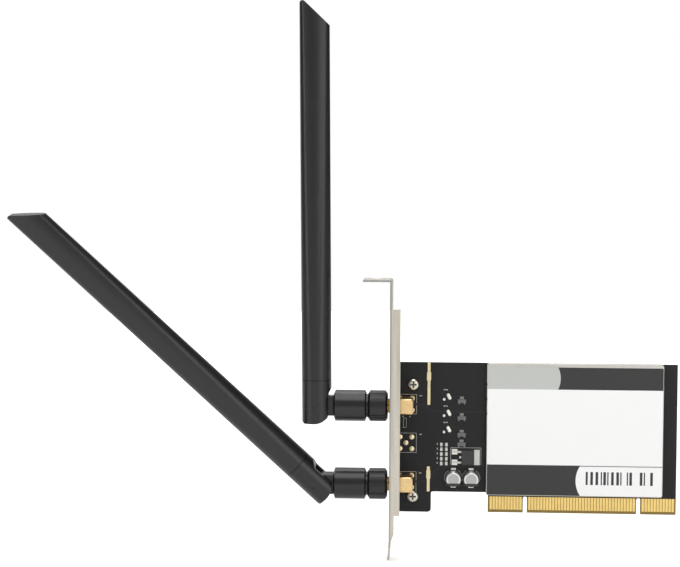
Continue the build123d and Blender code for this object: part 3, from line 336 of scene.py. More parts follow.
def moulded_black(name, colour, roughness, grain, depth):
    """Black ABS or epoxy from a spark-eroded mould: an even satin grain, a little uneven in gloss."""
    material, add, place = begin(name)
    grit = add("TexNoise", (), {"Vector": place, "Scale": per_mm(grain), "Detail": 4.0})
    handled = add("TexNoise", (), {"Vector": place, "Scale": per_mm(18), "Detail": 2.0})
    tint = shaded(add, colour, handled, 0.88, 1.14)
    rough = add("MapRange", (), {"Value": handled, "To Min": roughness - 0.05, "To Max": roughness + 0.07})
    bump = add("Bump", (), {"Strength": 0.35, "Distance": depth * MM, "Height": grit})
    return end(material, add, {"Base Color": tint, "Roughness": rough, "IOR": 1.5, "Normal": bump})


def plain_moulding(name, colour, roughness, mottle):
    """Turned or fired pale stock, such as PTFE or ceramic: matt, with a slight mottle."""
    material, add, place = begin(name)
    cloud = add("TexNoise", (), {"Vector": place, "Scale": per_mm(mottle), "Detail": 3.0})
    tint = shaded(add, colour, cloud, 0.9, 1.05)
    return end(material, add, {"Base Color": tint, "Roughness": roughness, "IOR": 1.4})


def two_stock(material, add, place, matt, bright, mask, roughness):
    """Close a tree whose mask is nought on a matt stock and one on a bright metal."""
    grain = add("TexNoise", (), {"Vector": place, "Scale": per_mm(0.8), "Detail": 3.0})
    tint = add("Mix", RGBA, {0: mask, 6: matt, 7: bright}, 2)
    rough = add("MapRange", (), {"Value": grain, "To Min": roughness - 0.06, "To Max": roughness + 0.1})
    return end(material, add, {"Base Color": tint, "Metallic": mask, "Roughness": rough})


def off_axis(add, place, low, high):
    """Distance in X and Z from the nearer axis of two like round parts that stand apart in one box.

    Each coordinate is folded about the box's middle, so that both parts fall on one: |v - middle| - reach.
    """
    middle = (low + high) / 2
    reach = (high - low - min(high[0] - low[0], high[2] - low[2])) / 2
    folded = {}
    for axis, k in (("X", 0), ("Z", 2)):
        value = add("SeparateXYZ", (), {0: place}, axis)
        off = add("Math", "SUBTRACT", {0: value, 1: middle[k] * MM})
        away = add("Math", "ABSOLUTE", {0: off})
        folded[axis] = add("Math", "SUBTRACT", {0: away, 1: reach[k] * MM})
    flat = add("CombineXYZ", (), folded)
    return add("VectorMath", "LENGTH", {0: flat}, "Value")


def drawn_aluminium_can(name, metal, painted_highlight, mark, share):
    """Drawn aluminium: a grey flat top whose turned edge is painted lighter as a highlight, and a black
    segment printed on the top.
    """
    material, add, place = begin(name)
    y, z = (add("SeparateXYZ", (), {0: place}, axis) for axis in "YZ")
    radius = CAPACITOR_RADIUS * MM
    below = add("Math", "LESS_THAN", {0: z, 1: CAPACITOR_MIDDLE_Z * MM - share * radius})
    top = add("Math", "LESS_THAN", {0: y, 1: (CAPACITOR_LOW[1] + CAN_TOP_DEPTH) * MM})
    printed = add("Math", "MULTIPLY", {0: below, 1: top})
    bare = add("Math", "SUBTRACT", {0: 1.0, 1: printed})
    apart = off_axis(add, place, CAPACITOR_LOW, CAPACITOR_HIGH)
    # Painted highlight: the top's outer ring is given a lighter colour
    outer = add("MapRange", (), {
        "Value": apart, "From Min": CAN_RIM[0] * radius, "From Max": CAN_RIM[1] * radius})
    sheet = add("Mix", RGBA, {0: outer, 6: metal, 7: painted_highlight}, 2)
    tint = add("Mix", RGBA, {0: printed, 6: sheet, 7: mark}, 2)
    return end(material, add, {"Base Color": tint, "Metallic": bare, "Roughness": 0.36})


def headed_screw(name, plate, grime_and_shade):
    """Nickel-plated steel, cold headed: bright and a little clouded, with grime and painted shade in the
    cross recess.
    """
    material, add, place = begin(name)
    cloud = add("TexNoise", (), {"Vector": place, "Scale": per_mm(0.9), "Detail": 3.0})
    y = add("SeparateXYZ", (), {0: place}, "Y")
    apart = off_axis(add, place, SCREW_LOW, SCREW_HIGH)
    # The cross recess is painted darker and dull: grime together with painted shade where the recess lies in
    # shadow
    near = add("Math", "LESS_THAN", {0: apart, 1: RECESS_RADIUS * MM})
    deep = add("Math", "GREATER_THAN", {0: y, 1: (SCREW_LOW[1] + RECESS_LIP) * MM})
    recess = add("Math", "MULTIPLY", {0: near, 1: deep})
    bare = add("Math", "SUBTRACT", {0: 1.0, 1: recess})
    tint = add("Mix", RGBA, {0: recess, 6: plate, 7: grime_and_shade}, 2)
    rough = add("MapRange", (), {"Value": cloud, "To Min": 0.2, "To Max": 0.4})
    return end(material, add, {"Base Color": tint, "Metallic": bare, "Roughness": rough})


def thick_film(name, glaze, tin, end_length):
    """Chip resistor: black glaze between two tinned ends."""
    material, add, place = begin(name)
    x = add("SeparateXYZ", (), {0: place})
    middle = (RESISTOR_LOW[0] + RESISTOR_HIGH[0]) / 2
    half = (RESISTOR_HIGH[0] - RESISTOR_LOW[0]) / 2 - end_length
    off = add("Math", "SUBTRACT", {0: x, 1: middle * MM})
    far = add("Math", "ABSOLUTE", {0: off})
    tinned = add("Math", "GREATER_THAN", {0: far, 1: half * MM})
    return two_stock(material, add, place, glaze, tin, tinned, roughness=0.4)


def tinned_legs(name, body, tin, sheet):
    """Moulded part whose tinned legs lie on the board."""
    material, add, place = begin(name)
    y = add("SeparateXYZ", (), {0: place}, "Y")
    low = add("Math", "GREATER_THAN", {0: y, 1: (FACE - sheet) * MM})
    return two_stock(material, add, place, body, tin, low, roughness=0.5)


def printed_paper_label(name, tone):
    """Coated paper, printed in flat fields: a round-ended grey one, dark bands, white fields, plain bars.

    Each field is a test on X and Z: a band between two heights, cut at its end by a circle.
    """
    material, add, place = begin(name)
    x, z = (add("SeparateXYZ", (), {0: place}, axis) for axis in "XZ")
    left, top = LABEL_LOW[0], LABEL_HIGH[2]
    header_low = top - HEADER_DEPTH
    footer_high = LABEL_LOW[2] + FOOTER_HEIGHT
    grey_middle = left + GREY_END - GREY_ROUND
    white_middle = left + FOOTER_END + FOOTER_ROUND
    in_header = add("Math", "GREATER_THAN", {0: z, 1: header_low * MM})
    in_footer = add("Math", "LESS_THAN", {0: z, 1: footer_high * MM})
    flat = add("CombineXYZ", (), {"X": x, "Z": z})
    inside = []
    for centre_x, centre_z, radius in (
            (grey_middle, (top + header_low) / 2, GREY_ROUND),
            (white_middle, (LABEL_LOW[2] + footer_high) / 2, FOOTER_ROUND)):
        centre = (centre_x * MM, 0.0, centre_z * MM)
        apart = add("VectorMath", "DISTANCE", {0: flat, 1: centre}, "Value")
        inside.append(add("Math", "LESS_THAN", {0: apart, 1: radius * MM}))
    grey_body = add("Math", "LESS_THAN", {0: x, 1: grey_middle * MM})
    white_body = add("Math", "GREATER_THAN", {0: x, 1: white_middle * MM})
    grey = add("Math", "MAXIMUM", {0: grey_body, 1: inside[0]})
    white = add("Math", "MAXIMUM", {0: white_body, 1: inside[1]})
    header = add("Mix", RGBA, {0: grey, 6: tone.label_dark, 7: tone.label_grey}, 2)
    # Plain bars: uneven stripes along X, between two heights and two sides of the white field
    stripe_place = add("CombineXYZ", (), {"X": x})
    stripes = add("TexNoise", (), {"Vector": stripe_place, "Scale": per_mm(1.1), "Detail": 0.0})
    bar = add("Math", "GREATER_THAN", {0: stripes, 1: 0.5})
    for value, low, high in ((x, left + BARS_X[0], left + BARS_X[1]), (z, *BARS_Z)):
        middle, half = (low + high) / 2 * MM, (high - low) / 2 * MM
        within = add("Math", "COMPARE", {0: value, 1: middle, 2: half})
        bar = add("Math", "MULTIPLY", {0: bar, 1: within})
    rule_middle = (footer_high - RULE_WIDTH / 2) * MM
    rule = add("Math", "COMPARE", {0: z, 1: rule_middle, 2: RULE_WIDTH / 2 * MM})
    barred = add("Mix", RGBA, {0: bar, 6: tone.label_white, 7: tone.label_dark}, 2)
    barred = add("Mix", RGBA, {0: rule, 6: barred, 7: tone.label_rule}, 2)
    footer = add("Mix", RGBA, {0: white, 6: tone.label_dark, 7: barred}, 2)
    sheet = add("Mix", RGBA, {0: in_header, 6: tone.label_white, 7: header}, 2)
    sheet = add("Mix", RGBA, {0: in_footer, 6: sheet, 7: footer}, 2)
    fibre = add("TexNoise", (), {"Vector": place, "Scale": per_mm(0.6), "Detail": 3.0})
    rough = add("MapRange", (), {"Value": fibre, "To Min": 0.42, "To Max": 0.56})
    bump = add("Bump", (), {"Strength": 0.15, "Distance": 0.01 * MM, "Height": fibre})
    return end(material, add, {"Base Color": sheet, "Roughness": rough, "IOR": 1.45, "Normal": bump})


# Surfaces
def skin(rings, wrap=False):
    """Closed skin over rings of points, as rows by columns by 3.

    Each point joins its neighbour in the ring and the same point of the next ring.  The rows close on
    themselves too, or end in two flat caps.
    """
    rows, columns = rings.shape[:2]
    row = np.arange(rows if wrap else rows - 1)[:, None] * columns
    above = (row + columns) % (rows * columns)
    column = np.arange(columns)[None, :]
    after = (column + 1) % columns
    faces = np.stack([row + column, row + after, above + after, above + column], -1).reshape(-1, 4).tolist()
    if not wrap:
        faces += [list(range(columns)), list(range((rows - 1) * columns, rows * columns))]
    return rings.reshape(-1, 3), faces


def joined(shells):
    """Several shells as one: the points one after another, and each face's numbers moved up to match."""
    starts = np.cumsum([0] + [len(points) for points, faces in shells])
    faces = [[int(start) + corner for corner in face]
             for start, shell in zip(starts, shells) for face in shell[1]]
    return np.concatenate([points for points, faces in shells]), faces


def turned(profile, x, z, spokes):
    """A profile of (Y, radius) pairs turned about an axis along Y: x + r cos a, y, z + r sin a."""
    y, radius = np.array(profile, float).T[:, :, None]
    angle = np.linspace(0, 2 * np.pi, spokes, endpoint=False)[None, :]
    return skin(np.stack([x + radius * np.cos(angle), y + 0 * angle, z + radius * np.sin(angle)], -1))


def rounded_ring(low, high, corner, steps=6):
    """Outline of a rectangle in X and Z: at each corner, its centre plus the radius times (cos, sin)."""
    quarter = np.linspace(0, np.pi / 2, steps)
    angle = (quarter[None, :] + np.arange(4)[:, None] * np.pi / 2).ravel()
    side = np.repeat(np.array([(1, 1), (-1, 1), (-1, -1), (1, -1)]), steps, axis=0)
    middle, half = (np.add(low, high)) / 2, np.subtract(high, low) / 2 - corner
    return middle + side * half + corner * np.stack([np.cos(angle), np.sin(angle)], -1)


def stacked(rings, depths):
    """Flat rings in X and Z set at their depths in Y, one above the other."""
    rings = np.asarray(rings)
    depth = np.broadcast_to(np.asarray(depths)[:, None], rings.shape[:2])
    return skin(np.stack([rings[..., 0], depth, rings[..., 1]], -1))


def ribbon(path, width, near, far, closed=False):
    """A flat strip along a path in X and Z, between two depths.

    Its sides stand half a width off each corner, along (n1 + n2) / (1 + n1 . n2), the normals' mitre.
    """
    path = np.asarray(path, float)
    ahead = np.roll(path, -1, 0) - path
    ahead /= np.linalg.norm(ahead, axis=1, keepdims=True)
    behind = np.roll(ahead, 1, 0)
    if not closed:
        ahead[-1] = behind[-1]
        behind[0] = ahead[0]
    n1, n2 = (np.stack([-way[:, 1], way[:, 0]], -1) for way in (ahead, behind))
    mitre = (n1 + n2) / (1 + (n1 * n2).sum(1, keepdims=True)) * width / 2
    sides = np.stack([path + mitre, path - mitre, path - mitre, path + mitre], 1)
    depth = np.broadcast_to(np.array([near, near, far, far], float), sides.shape[:2])
    return skin(np.stack([sides[..., 0], depth, sides[..., 1]], -1), wrap=closed)


def dome(x, z, straight, radius, slant, face, height):
    """A mound of solder on a round-ended land.

    Rings of radius r cos t stand at height h sin t, their two halves moved apart along the land.
    """
    rise = np.radians(DOME_RISES)[:, None]
    angle = np.linspace(0, 2 * np.pi, DOME_SPOKES, endpoint=False)[None, :]
    along = np.sign(np.cos(angle)) * straight / 2 + radius * np.cos(rise) * np.cos(angle)
    across = radius * np.cos(rise) * np.sin(angle)
    turn = np.radians(slant)
    rings = np.stack([x + along * np.cos(turn) - across * np.sin(turn),
                      z + along * np.sin(turn) + across * np.cos(turn)], -1)
    return stacked(rings, face + height * np.sin(rise[:, 0]))


def threaded_barrel(mouth, root, axis_y, axis_z, crest, bore, pitch, depth, lead_in):
    """Tube along X with a right-hand thread outside.

    The outer radius is crest - depth * |2 f - 1|, where f is the fraction of x / pitch - turn, held under a
    cone at the mouth, crest - lead_in + (x - mouth).  The bore takes the loop of rings back to its start.
    """
    turn = np.linspace(0, 1, THREAD_SPOKES, endpoint=False)[None, :]
    x = np.linspace(mouth, root, int((root - mouth) / pitch * THREAD_ROWS))[:, None]
    vee = np.abs(2 * ((x / pitch - turn) % 1) - 1)
    radius = np.minimum(crest - depth * vee, crest - lead_in + x - mouth)
    x = np.concatenate([x, [[root], [mouth]]])
    radius = np.concatenate([radius, np.full((2, turn.size), bore)])
    angle = 2 * np.pi * turn
    rings = np.stack([x + 0 * angle, axis_y + radius * np.cos(angle), axis_z + radius * np.sin(angle)], -1)
    return skin(rings, wrap=True)


# Pieces
def add_piece(name, shell, material, body, stands_for=()):
    """Put a shell into a mesh at the origin, outward and smooth between sharp edges, to ride on a body."""
    points, faces = shell
    mesh = bpy.data.meshes.new(name)
    mesh.from_pydata((points * MM).tolist(), [], faces)
    work = bmesh.new()
    work.from_mesh(mesh)
    bmesh.ops.recalc_face_normals(work, faces=work.faces)
    work.to_mesh(mesh)
    work.free()
    mesh.polygons.foreach_set("use_smooth", np.ones(len(mesh.polygons), bool))
    mesh.set_sharp_from_angle(angle=SHARP_ANGLE)
    mesh.materials.append(material)
    piece = bpy.data.objects.new(name, mesh)
    bpy.context.scene.collection.objects.link(piece)
    if stands_for:
        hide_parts(*stands_for)
    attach(piece, body)
    return piece


def dress(material, *nodes):
    """Give CAD nodes a finish."""
    for name in nodes:
        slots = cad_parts[name].data.materials
        slots.clear()
        slots.append(material)


def colours():
    """The colours that a user may change."""
    return bpy.context.scene.card_colours


def sizes():
    """The sizes that a user may change, in millimetres."""
    held = bpy.context.scene.card_sizes
    return {name: getattr(held, name) / MM for name in CardSizes.__annotations__}


def of_both(*pieces):
    """Node names of both antennas for these pieces."""
    return [f"{name}_{piece}" for name in ANTENNAS for piece in pieces]


def length(name, description, size):
    """A size that a user may change, given in millimetres."""
    return FloatProperty(name=name, description=description, default=size * MM, unit="LENGTH")


class CardSizes(PropertyGroup):
    """Sizes of the fine pieces."""
    thread_pitch: length("Thread pitch", "Lead of the jack's thread", 0.7056)
    thread_depth: length("Thread depth", "From the thread's crest to its root", 0.38)
    ink_width: length("Ink width", "Width of a printed outline", 0.2)
    ink_height: length("Ink height", "How far the ink stands off the mask", 0.02)
    trace_width: length("Trace width", "Width of a copper trace", 0.3)
    trace_height: length("Trace height", "How far a covered trace stands up", 0.04)
    via_radius: length("Via radius", "Outer radius of a covered via", 0.38)
    solder_height: length("Solder height", "Height of the mounds on bare lands", 0.3)


def swatch(name, description, hex_colour):
    """A colour that a user may change."""
    return FloatVectorProperty(
        name=name, description=description, default=linear(hex_colour), subtype="COLOR", size=3, min=0, max=1)


class CardColours(PropertyGroup):
    """Colours of the finishes."""
    mask: swatch("Solder mask", "Black solder mask of the board", "1E1E1F")
    covered_copper: swatch("Covered copper", "Mask where copper lies under it", "242425")
    laminate: swatch("Laminate", "Bare board round the contacts", "86703C")
    contact_gold: swatch("Contact gold", "Plating of the edge contacts", "EECE82")
    strip_gold: swatch("Strip gold", "Thin gold of the bare strips", "E8DAB2")
    jack_gold: swatch("Jack gold", "Plating of the jacks", "EACA94")
    solder: swatch("Solder", "Tinned lands and legs", "EAE8E2")
    dull_tin: swatch("Dull tin", "Legs of the small three-legged parts", "8C8C8A")
    lead_frame: swatch("Lead frame", "Tinned tab and leads of the regulator", "CDCBC6")
    bracket: swatch("Bracket", "Nickel plate of the bracket", "D2CCC0")
    cut_edge: swatch("Cut edge", "Sheared edge of the bracket", "B2B0AC")
    screw: swatch("Screw", "Plate of the screws", "D8D2C6")
    # Grime together with painted shade, darkening the screws' recesses
    grime_and_shade: swatch("Grime", "What darkens the screws' recesses", "70685A")
    black_steel: swatch("Black steel", "Blackened hinge pins", "444446")
    tin: swatch("Tin", "Tinned sheet of the shield", "C6C4BE")
    label_white: swatch("Label white", "Paper of the label", "F3F3F3")
    label_grey: swatch("Label grey", "Grey field of the label", "BFC1BD")
    label_dark: swatch("Label dark", "Dark bands of the label", "303030")
    label_rule: swatch("Label rule", "Thin line across the label", "8A8A8A")
    epoxy: swatch("Epoxy", "Black moulded parts", "2A2A2C")
    matt_epoxy: swatch("Matt epoxy", "Regulator's body", "323233")
    grey_epoxy: swatch("Grey epoxy", "Small three-legged parts", "646464")
    ceramic: swatch("Ceramic", "Fired capacitors in the can", "B49A74")
    aluminium: swatch("Aluminium", "Tops of the capacitor cans", "B4B4B4")
    # A painted highlight on the turned edges of the capacitor cans
    rim_highlight: swatch("Bright rim", "Turned edges of the capacitor cans", "E6E6E6")
    dielectric: swatch("Dielectric", "White filling of plug and jack", "F2F0EA")
    nut: swatch("Nut", "Grip of the coupling nut", "151516")
    sleeve: swatch("Sleeve", "Swivel sleeve and hinge fork", "19191A")
    blade: swatch("Blade", "Antenna's blade", "1C1C1D")
    jacket: swatch("Jacket", "Cable jacket", "2E2E2E")
    copper: swatch("Copper", "Bare copper of the antenna", "C47A4A")
    ink: swatch("Ink", "Printed outlines on the board", "A8A6A0")


def number(name, description, value, **kind):
    """A number that a user may change."""
    return FloatProperty(name=name, description=description, default=value, **kind)


class StageSettings(PropertyGroup):
    """Camera, light and floor."""
    focal_length: number("Focal length", "Camera lens", 88.98, unit="CAMERA")
    yaw: number("Yaw", "Camera's turn to its left", math.radians(3.18), subtype="ANGLE")
    pitch: number("Pitch", "Camera's tilt down", math.radians(3.13), subtype="ANGLE")
    roll: number("Roll", "Camera's turn about its own axis", math.radians(0.3), subtype="ANGLE")
    camera_place: FloatVectorProperty(
        name="Camera place", description="Where the camera stands", default=(-0.0642, -0.7194, 0.1373),
        subtype="TRANSLATION", size=3)
    ambient: number("Ambient", "Strength of the light from all round", 0.46, min=0)
    reflected: number("Reflected", "Strength of the room before the card in reflections", 0.35, min=0)
    shaded: number("Shaded", "Strength of the dark sides in reflections", 0.08, min=0)
    dark_turn: number("Dark turn", "Turn of the dark sides to the left", math.radians(20), subtype="ANGLE")
    top_power: number("Top power", "Softbox overhead", 9.2, unit="POWER")
    left_power: number("Left power", "Strip to the left", 3.4, unit="POWER")
    right_power: number("Right power", "Panel to the right", 4.2, unit="POWER")
    floor_colour: swatch("Floor", "Pale floor", "EFEFED")


class NETCARD_OT_board(Operator):
    """Dress the circuit board, its contacts and its lands"""
    bl_idname = "netcard.board"
    bl_label = "Circuit board"

    def execute(self, context):
        tone = colours()
        mask = cured_solder_mask("solder_mask_black_cured", tone.mask, tone.laminate, sheen=0.46)
        dress(mask, "circuit_board")
        for name, colour, roughness, streak, depth, nodes in (
                ("gold_flash_on_nickel_wiped", tone.contact_gold, 0.3, (0.12, 0.3, 3.0), 0.004,
                 ["edge_contacts"]),
                ("gold_flash_immersion", tone.strip_gold, 0.38, (0.5, 0.5, 2.0), 0.004,
                 ["ground_strips", "empty_jack_pads", "jack_pads"]),
                ("solder_tin_reflowed", tone.solder, 0.36, (0.7, 0.7, 0.7), 0.02,
                 ["component_pads", "capacitor_leads"]),
                ("copper_alloy_tin_plated", tone.lead_frame, 0.42, (0.5, 0.5, 0.9), 0.02,
                 ["regulator_frame"])):
            dress(plated_metal(name, colour, roughness, streak, depth), *nodes)
        return {"FINISHED"}


class NETCARD_OT_solder(Operator):
    """Raise mounds of solder on the bare lands"""
    bl_idname = "netcard.solder"
    bl_label = "Solder mounds"

    def execute(self, context):
        height = sizes()["solder_height"]
        plating = corners("component_pads")[0][1]
        shells = []
        for x, z in SLANTED_LANDS:
            shells.append(dome(x, z, LAND_STRAIGHT, LAND_RADIUS, LAND_SLANT, plating, -height))
            shells.append(dome(x + LAND_DOT[0], z + LAND_DOT[1], 0, DOT_RADIUS, 0, plating, -height))
        add_piece("land_solder", joined(shells), bpy.data.materials["solder_tin_reflowed"], "card")
        shells = []
        reach = (EMPTY_JACK_HIGH[0] - EMPTY_JACK_LOW[0]) / 2 - JACK_PAD_RADIUS
        for across, up in JACK_HOLES:
            place = (JACK_MIDDLE_X + across * reach, JACK_ROWS[1] + up * reach, 0, JACK_PAD_RADIUS, 0)
            shells.append(dome(*place, EMPTY_JACK_LOW[1], -height))
            shells.append(dome(*place, EMPTY_JACK_HIGH[1], height))
        add_piece("hole_solder", joined(shells), bpy.data.materials["gold_flash_immersion"], "card")
        return {"FINISHED"}


class NETCARD_OT_outlines(Operator):
    """Print the white outlines of the parts on the board"""
    bl_idname = "netcard.outlines"
    bl_label = "Printed outlines"

    def execute(self, context):
        size = sizes()
        top = FACE - size["ink_height"]
        ink = plain_moulding("epoxy_ink_screened_white", colours().ink, roughness=0.6, mottle=1.0)
        shells = []

        def draw(path, bold=1, closed=False):
            shells.append(ribbon(path, bold * size["ink_width"], top, FACE, closed))

        left, right = JACK_MIDDLE_X - JACK_OUTLINE[0], JACK_MIDDLE_X + JACK_OUTLINE[1]
        for middle in JACK_ROWS:
            low, high = middle - JACK_OUTLINE[2], middle + JACK_OUTLINE[2]
            draw([(left, low), (right, low), (right, high), (left, high)])
            tick = (right + TICK[0], high + TICK[1])
            draw([tick, (tick[0] + TICK[2], tick[1])], BOLD)
        left, right, up = REGULATOR_MARGIN
        low = (REGULATOR_LOW[0] - left, REGULATOR_LOW[2] - up)
        high = (REGULATOR_HIGH[0] + right, REGULATOR_HIGH[2] + up)
        draw(rounded_ring(low, high, REGULATOR_CORNER), closed=True)
        for x in (CAPACITOR_LOW[0] + CAPACITOR_RADIUS, CAPACITOR_HIGH[0] - CAPACITOR_RADIUS):
            for start, stop in ARC_SPANS:
                angle = np.radians(np.linspace(start, stop, ARC_STEPS))
                arc = ARC_SHARE * CAPACITOR_RADIUS * np.stack([np.cos(angle), np.sin(angle)], -1)
                draw(arc + (x, CAPACITOR_MIDDLE_Z))
        dash_x = RESISTOR_LOW[0] - DASH_GAP
        for z in RESISTOR_LOW[2] + DASH_FIRST + DASH_PITCH * np.arange(DASH_COUNT):
            draw([(dash_x, z - DASH_LENGTH / 2), (dash_x, z + DASH_LENGTH / 2)], BOLD)
        for x, z in SLANTED_LANDS:
            for start, stop in LAND_BARS:
                draw([(x + start, z + LAND_BAR_RISE), (x + stop, z + LAND_BAR_RISE)], LAND_BOLD)
        draw(rounded_ring(*UNFITTED_PART, UNFITTED_CORNER), closed=True)
        for x, z in UNFITTED_DOTS:
            shells.append(turned([(FACE, INK_DOT_RADIUS), (top, INK_DOT_RADIUS)], x, z, spokes=16))
        add_piece("printed_outlines", joined(shells), ink, "card")
        return {"FINISHED"}


class NETCARD_OT_traces(Operator):
    """Lay the covered copper traces and vias"""
    bl_idname = "netcard.traces"
    bl_label = "Traces and vias"

    def execute(self, context):
        size, tone = sizes(), colours()
        width, height, radius = (size[name] for name in ("trace_width", "trace_height", "via_radius"))
        copper = cured_solder_mask(
            "solder_mask_black_over_copper", tone.covered_copper, tone.laminate, sheen=0.4)
        shells = []
        ends = []
        pins = np.arange(1, PIN_COUNT + 1)
        for pin in pins[pins % BARE_PIN != 0]:
            x = TAB_LEFT + pin * PIN_PITCH
            bend = BEND_HEIGHT + BEND_LANE * abs(x)
            slant = SLANT_LEAST + SLANT_STEP * (pin % SLANT_CYCLE)
            top = (x - math.copysign(slant, x), bend + slant)
            ends.append((top[0], top[1] + RUN_LEAST + RUN_STEP * (pin % RUN_CYCLE)))
            path = [(x, FINGER_HIGH[2] - TRACE_LAP), (x, bend), top, ends[-1]]
            shells.append(ribbon(path, width, BACK, BACK + height))
        start, bend = JACK_MIDDLE_X + FEED_START, JACK_MIDDLE_X + FEED_BEND
        for middle, rise in FEEDS:
            level = middle + rise
            path = [(start, middle), (bend, middle), (bend + abs(rise), level), (CAN_LOW[0], level)]
            shells.append(ribbon(path, FEED_BOLD * width, FACE - height, FACE))
        grid = np.stack(np.meshgrid(*VIA_GRID), -1).reshape(-1, 2)
        stitches = [(CAN_LOW[0] - STITCH_GAP, z) for z in STITCH_HEIGHTS]
        for face, outward, places in ((BACK, height, [*ends, *grid]), (FACE, -height, stitches)):
            profile = VIA_PROFILE * (outward, radius) + (face, 0)
            shells += [turned(profile, x, z, spokes=12) for x, z in places]
        add_piece("covered_traces", joined(shells), copper, "card")
        return {"FINISHED"}


class NETCARD_OT_small_parts(Operator):
    """Dress the parts on the bare board"""
    bl_idname = "netcard.small_parts"
    bl_label = "Small parts"

    def execute(self, context):
        tone = colours()
        for name, colour, roughness, grain, depth, node in (
                ("epoxy_black_moulded", tone.epoxy, 0.5, 0.35, 0.012, "capacitor_bases"),
                ("epoxy_black_moulded_matt", tone.matt_epoxy, 0.62, 0.3, 0.015, "regulator_body")):
            dress(moulded_black(name, colour, roughness, grain, depth), node)
        can = drawn_aluminium_can(
            "aluminium_drawn_printed", tone.aluminium, tone.rim_highlight, tone.epoxy, share=0.5)
        dress(can, "capacitor_cans")
        chip = thick_film("thick_film_glazed_tinned_ends", tone.epoxy, tone.lead_frame, end_length=1.0)
        dress(chip, "resistor_row")
        legs = tinned_legs("epoxy_grey_moulded_tinned_legs", tone.grey_epoxy, tone.dull_tin, sheet=0.16)
        dress(legs, "transistors")
        return {"FINISHED"}


class NETCARD_OT_bracket(Operator):
    """Dress the slot bracket and its screws"""
    bl_idname = "netcard.bracket"
    bl_label = "Bracket"

    def execute(self, context):
        tone = colours()
        dress(brushed_nickel_plate("steel_nickel_plated_brushed", tone.bracket, tone.cut_edge), "bracket")
        dress(headed_screw("steel_nickel_plated_headed", tone.screw, tone.grime_and_shade), "bracket_screws")
        return {"FINISHED"}


class NETCARD_OT_shield(Operator):
    """Dress the shield can, its label and what it holds"""
    bl_idname = "netcard.shield"
    bl_label = "Shield can"

    def execute(self, context):
        tone = colours()
        tin = tinned_sheet("steel_tin_plated_stamped", tone.tin)
        dress(tin, "shield_cover", "shield_frame", "crystal_can")
        dress(printed_paper_label("paper_coated_printed", tone), "label")
        dress(bpy.data.materials["epoxy_black_moulded"], "baseband_chip", "radio_chip", "amplifier_chips")
        ceramic = plain_moulding("ceramic_fired_tan", tone.ceramic, roughness=0.5, mottle=0.6)
        dress(ceramic, "inner_capacitors")
        return {"FINISHED"}


class NETCARD_OT_jacks(Operator):
    """Build the two threaded jacks"""
    bl_idname = "netcard.jacks"
    bl_label = "Jacks"

    def execute(self, context):
        size, tone = sizes(), colours()
        gold = plated_metal(
            "brass_gold_plated_turned", tone.jack_gold, roughness=0.27, streak=(1.5, 0.4, 0.4), depth=0.006)
        white = plain_moulding("ptfe_turned_white", tone.dielectric, roughness=0.55, mottle=1.5)
        for name, (low, high) in JACK_BOXES.items():
            axis_y, axis_z = low[1] + (high[2] - low[2]) / 2, (low[2] + high[2]) / 2
            left, right = high[0] - JACK_BLOCK_LENGTH, high[0]
            foot = FACE - JACK_STAND
            rings = [
                rounded_ring((left + inset, low[2] + inset), (right - inset, high[2] - inset), JACK_CORNER)
                for inset in (JACK_BREAK, 0, 0)]
            shells = [stacked(rings, (low[1], low[1] + JACK_BREAK, foot))]
            shells.append(threaded_barrel(
                low[0], left + JACK_CORNER, axis_y, axis_z, THREAD_RADIUS, BORE_RADIUS, size["thread_pitch"],
                size["thread_depth"], THREAD_LEAD_IN))
            leg = [(foot - JACK_LEG_SINK, JACK_LEG_RADIUS), (high[1] - JACK_LEG_BREAK, JACK_LEG_RADIUS),
                   (high[1], JACK_LEG_RADIUS - JACK_LEG_BREAK)]
            for across, up in JACK_HOLES[:4]:
                x = right - JACK_LEG_RADIUS - JACK_LEG_REACH + across * JACK_LEG_REACH
                shells.append(turned(leg, x, axis_z + up * JACK_LEG_REACH, spokes=20))
            add_piece(
                f"{name}_threaded_jack", joined(shells), gold, "card", [f"{name}_jack_body"])
        dress(gold, *of_both("jack_pin", "nut_insert", "plug_body", "plug_socket"))
        dress(white, *of_both("jack_insulator", "plug_insulator"))
        return {"FINISHED"}


class NETCARD_OT_antennas(Operator):
    """Dress both antennas: nuts, sleeves, forks, blades and what they hold"""
    bl_idname = "netcard.antennas"
    bl_label = "Antennas"

    def execute(self, context):
        tone = colours()
        # The blades' real grit is about 0.1 mm, drawn at 0.6 mm so that it shows
        for name, colour, roughness, grain, depth, pieces in (
                ("abs_black_moulded_gloss_core", tone.nut, 0.34, 0.5, 0.008, ["coupling_nut"]),
                ("abs_black_moulded_satin", tone.sleeve, 0.27, 0.5, 0.005, ["swivel_sleeve", "hinge_fork"]),
                ("abs_black_moulded_spark_grain", tone.blade, 0.32, 0.6, 0.008, ["blade"]),
                ("pvc_black_extruded", tone.jacket, 0.5, 1.0, 0.01, ["sleeve_cable", "blade_cable"])):
            dress(moulded_black(name, colour, roughness, grain, depth), *of_both(*pieces))
        for name, colour, roughness, streak, pieces in (
                ("steel_blackened_turned", tone.black_steel, 0.4, (0.5, 0.5, 0.5), ["hinge_pin"]),
                ("copper_bare_drawn", tone.copper, 0.35, (0.4, 0.4, 4.0),
                 ["radiator_tube", "radiator_wire"])):
            dress(plated_metal(name, colour, roughness, streak, depth=0.006), *of_both(*pieces))
        return {"FINISHED"}


def ray_kinds(add):
    """One for rays that a reflection or glass sends on, and one for rays straight from the camera."""
    mirrored, through, seen = (
        add("LightPath", out=f"Is {kind} Ray") for kind in ("Glossy", "Transmission", "Camera"))
    return add("Math", "MAXIMUM", {0: mirrored, 1: through}), seen


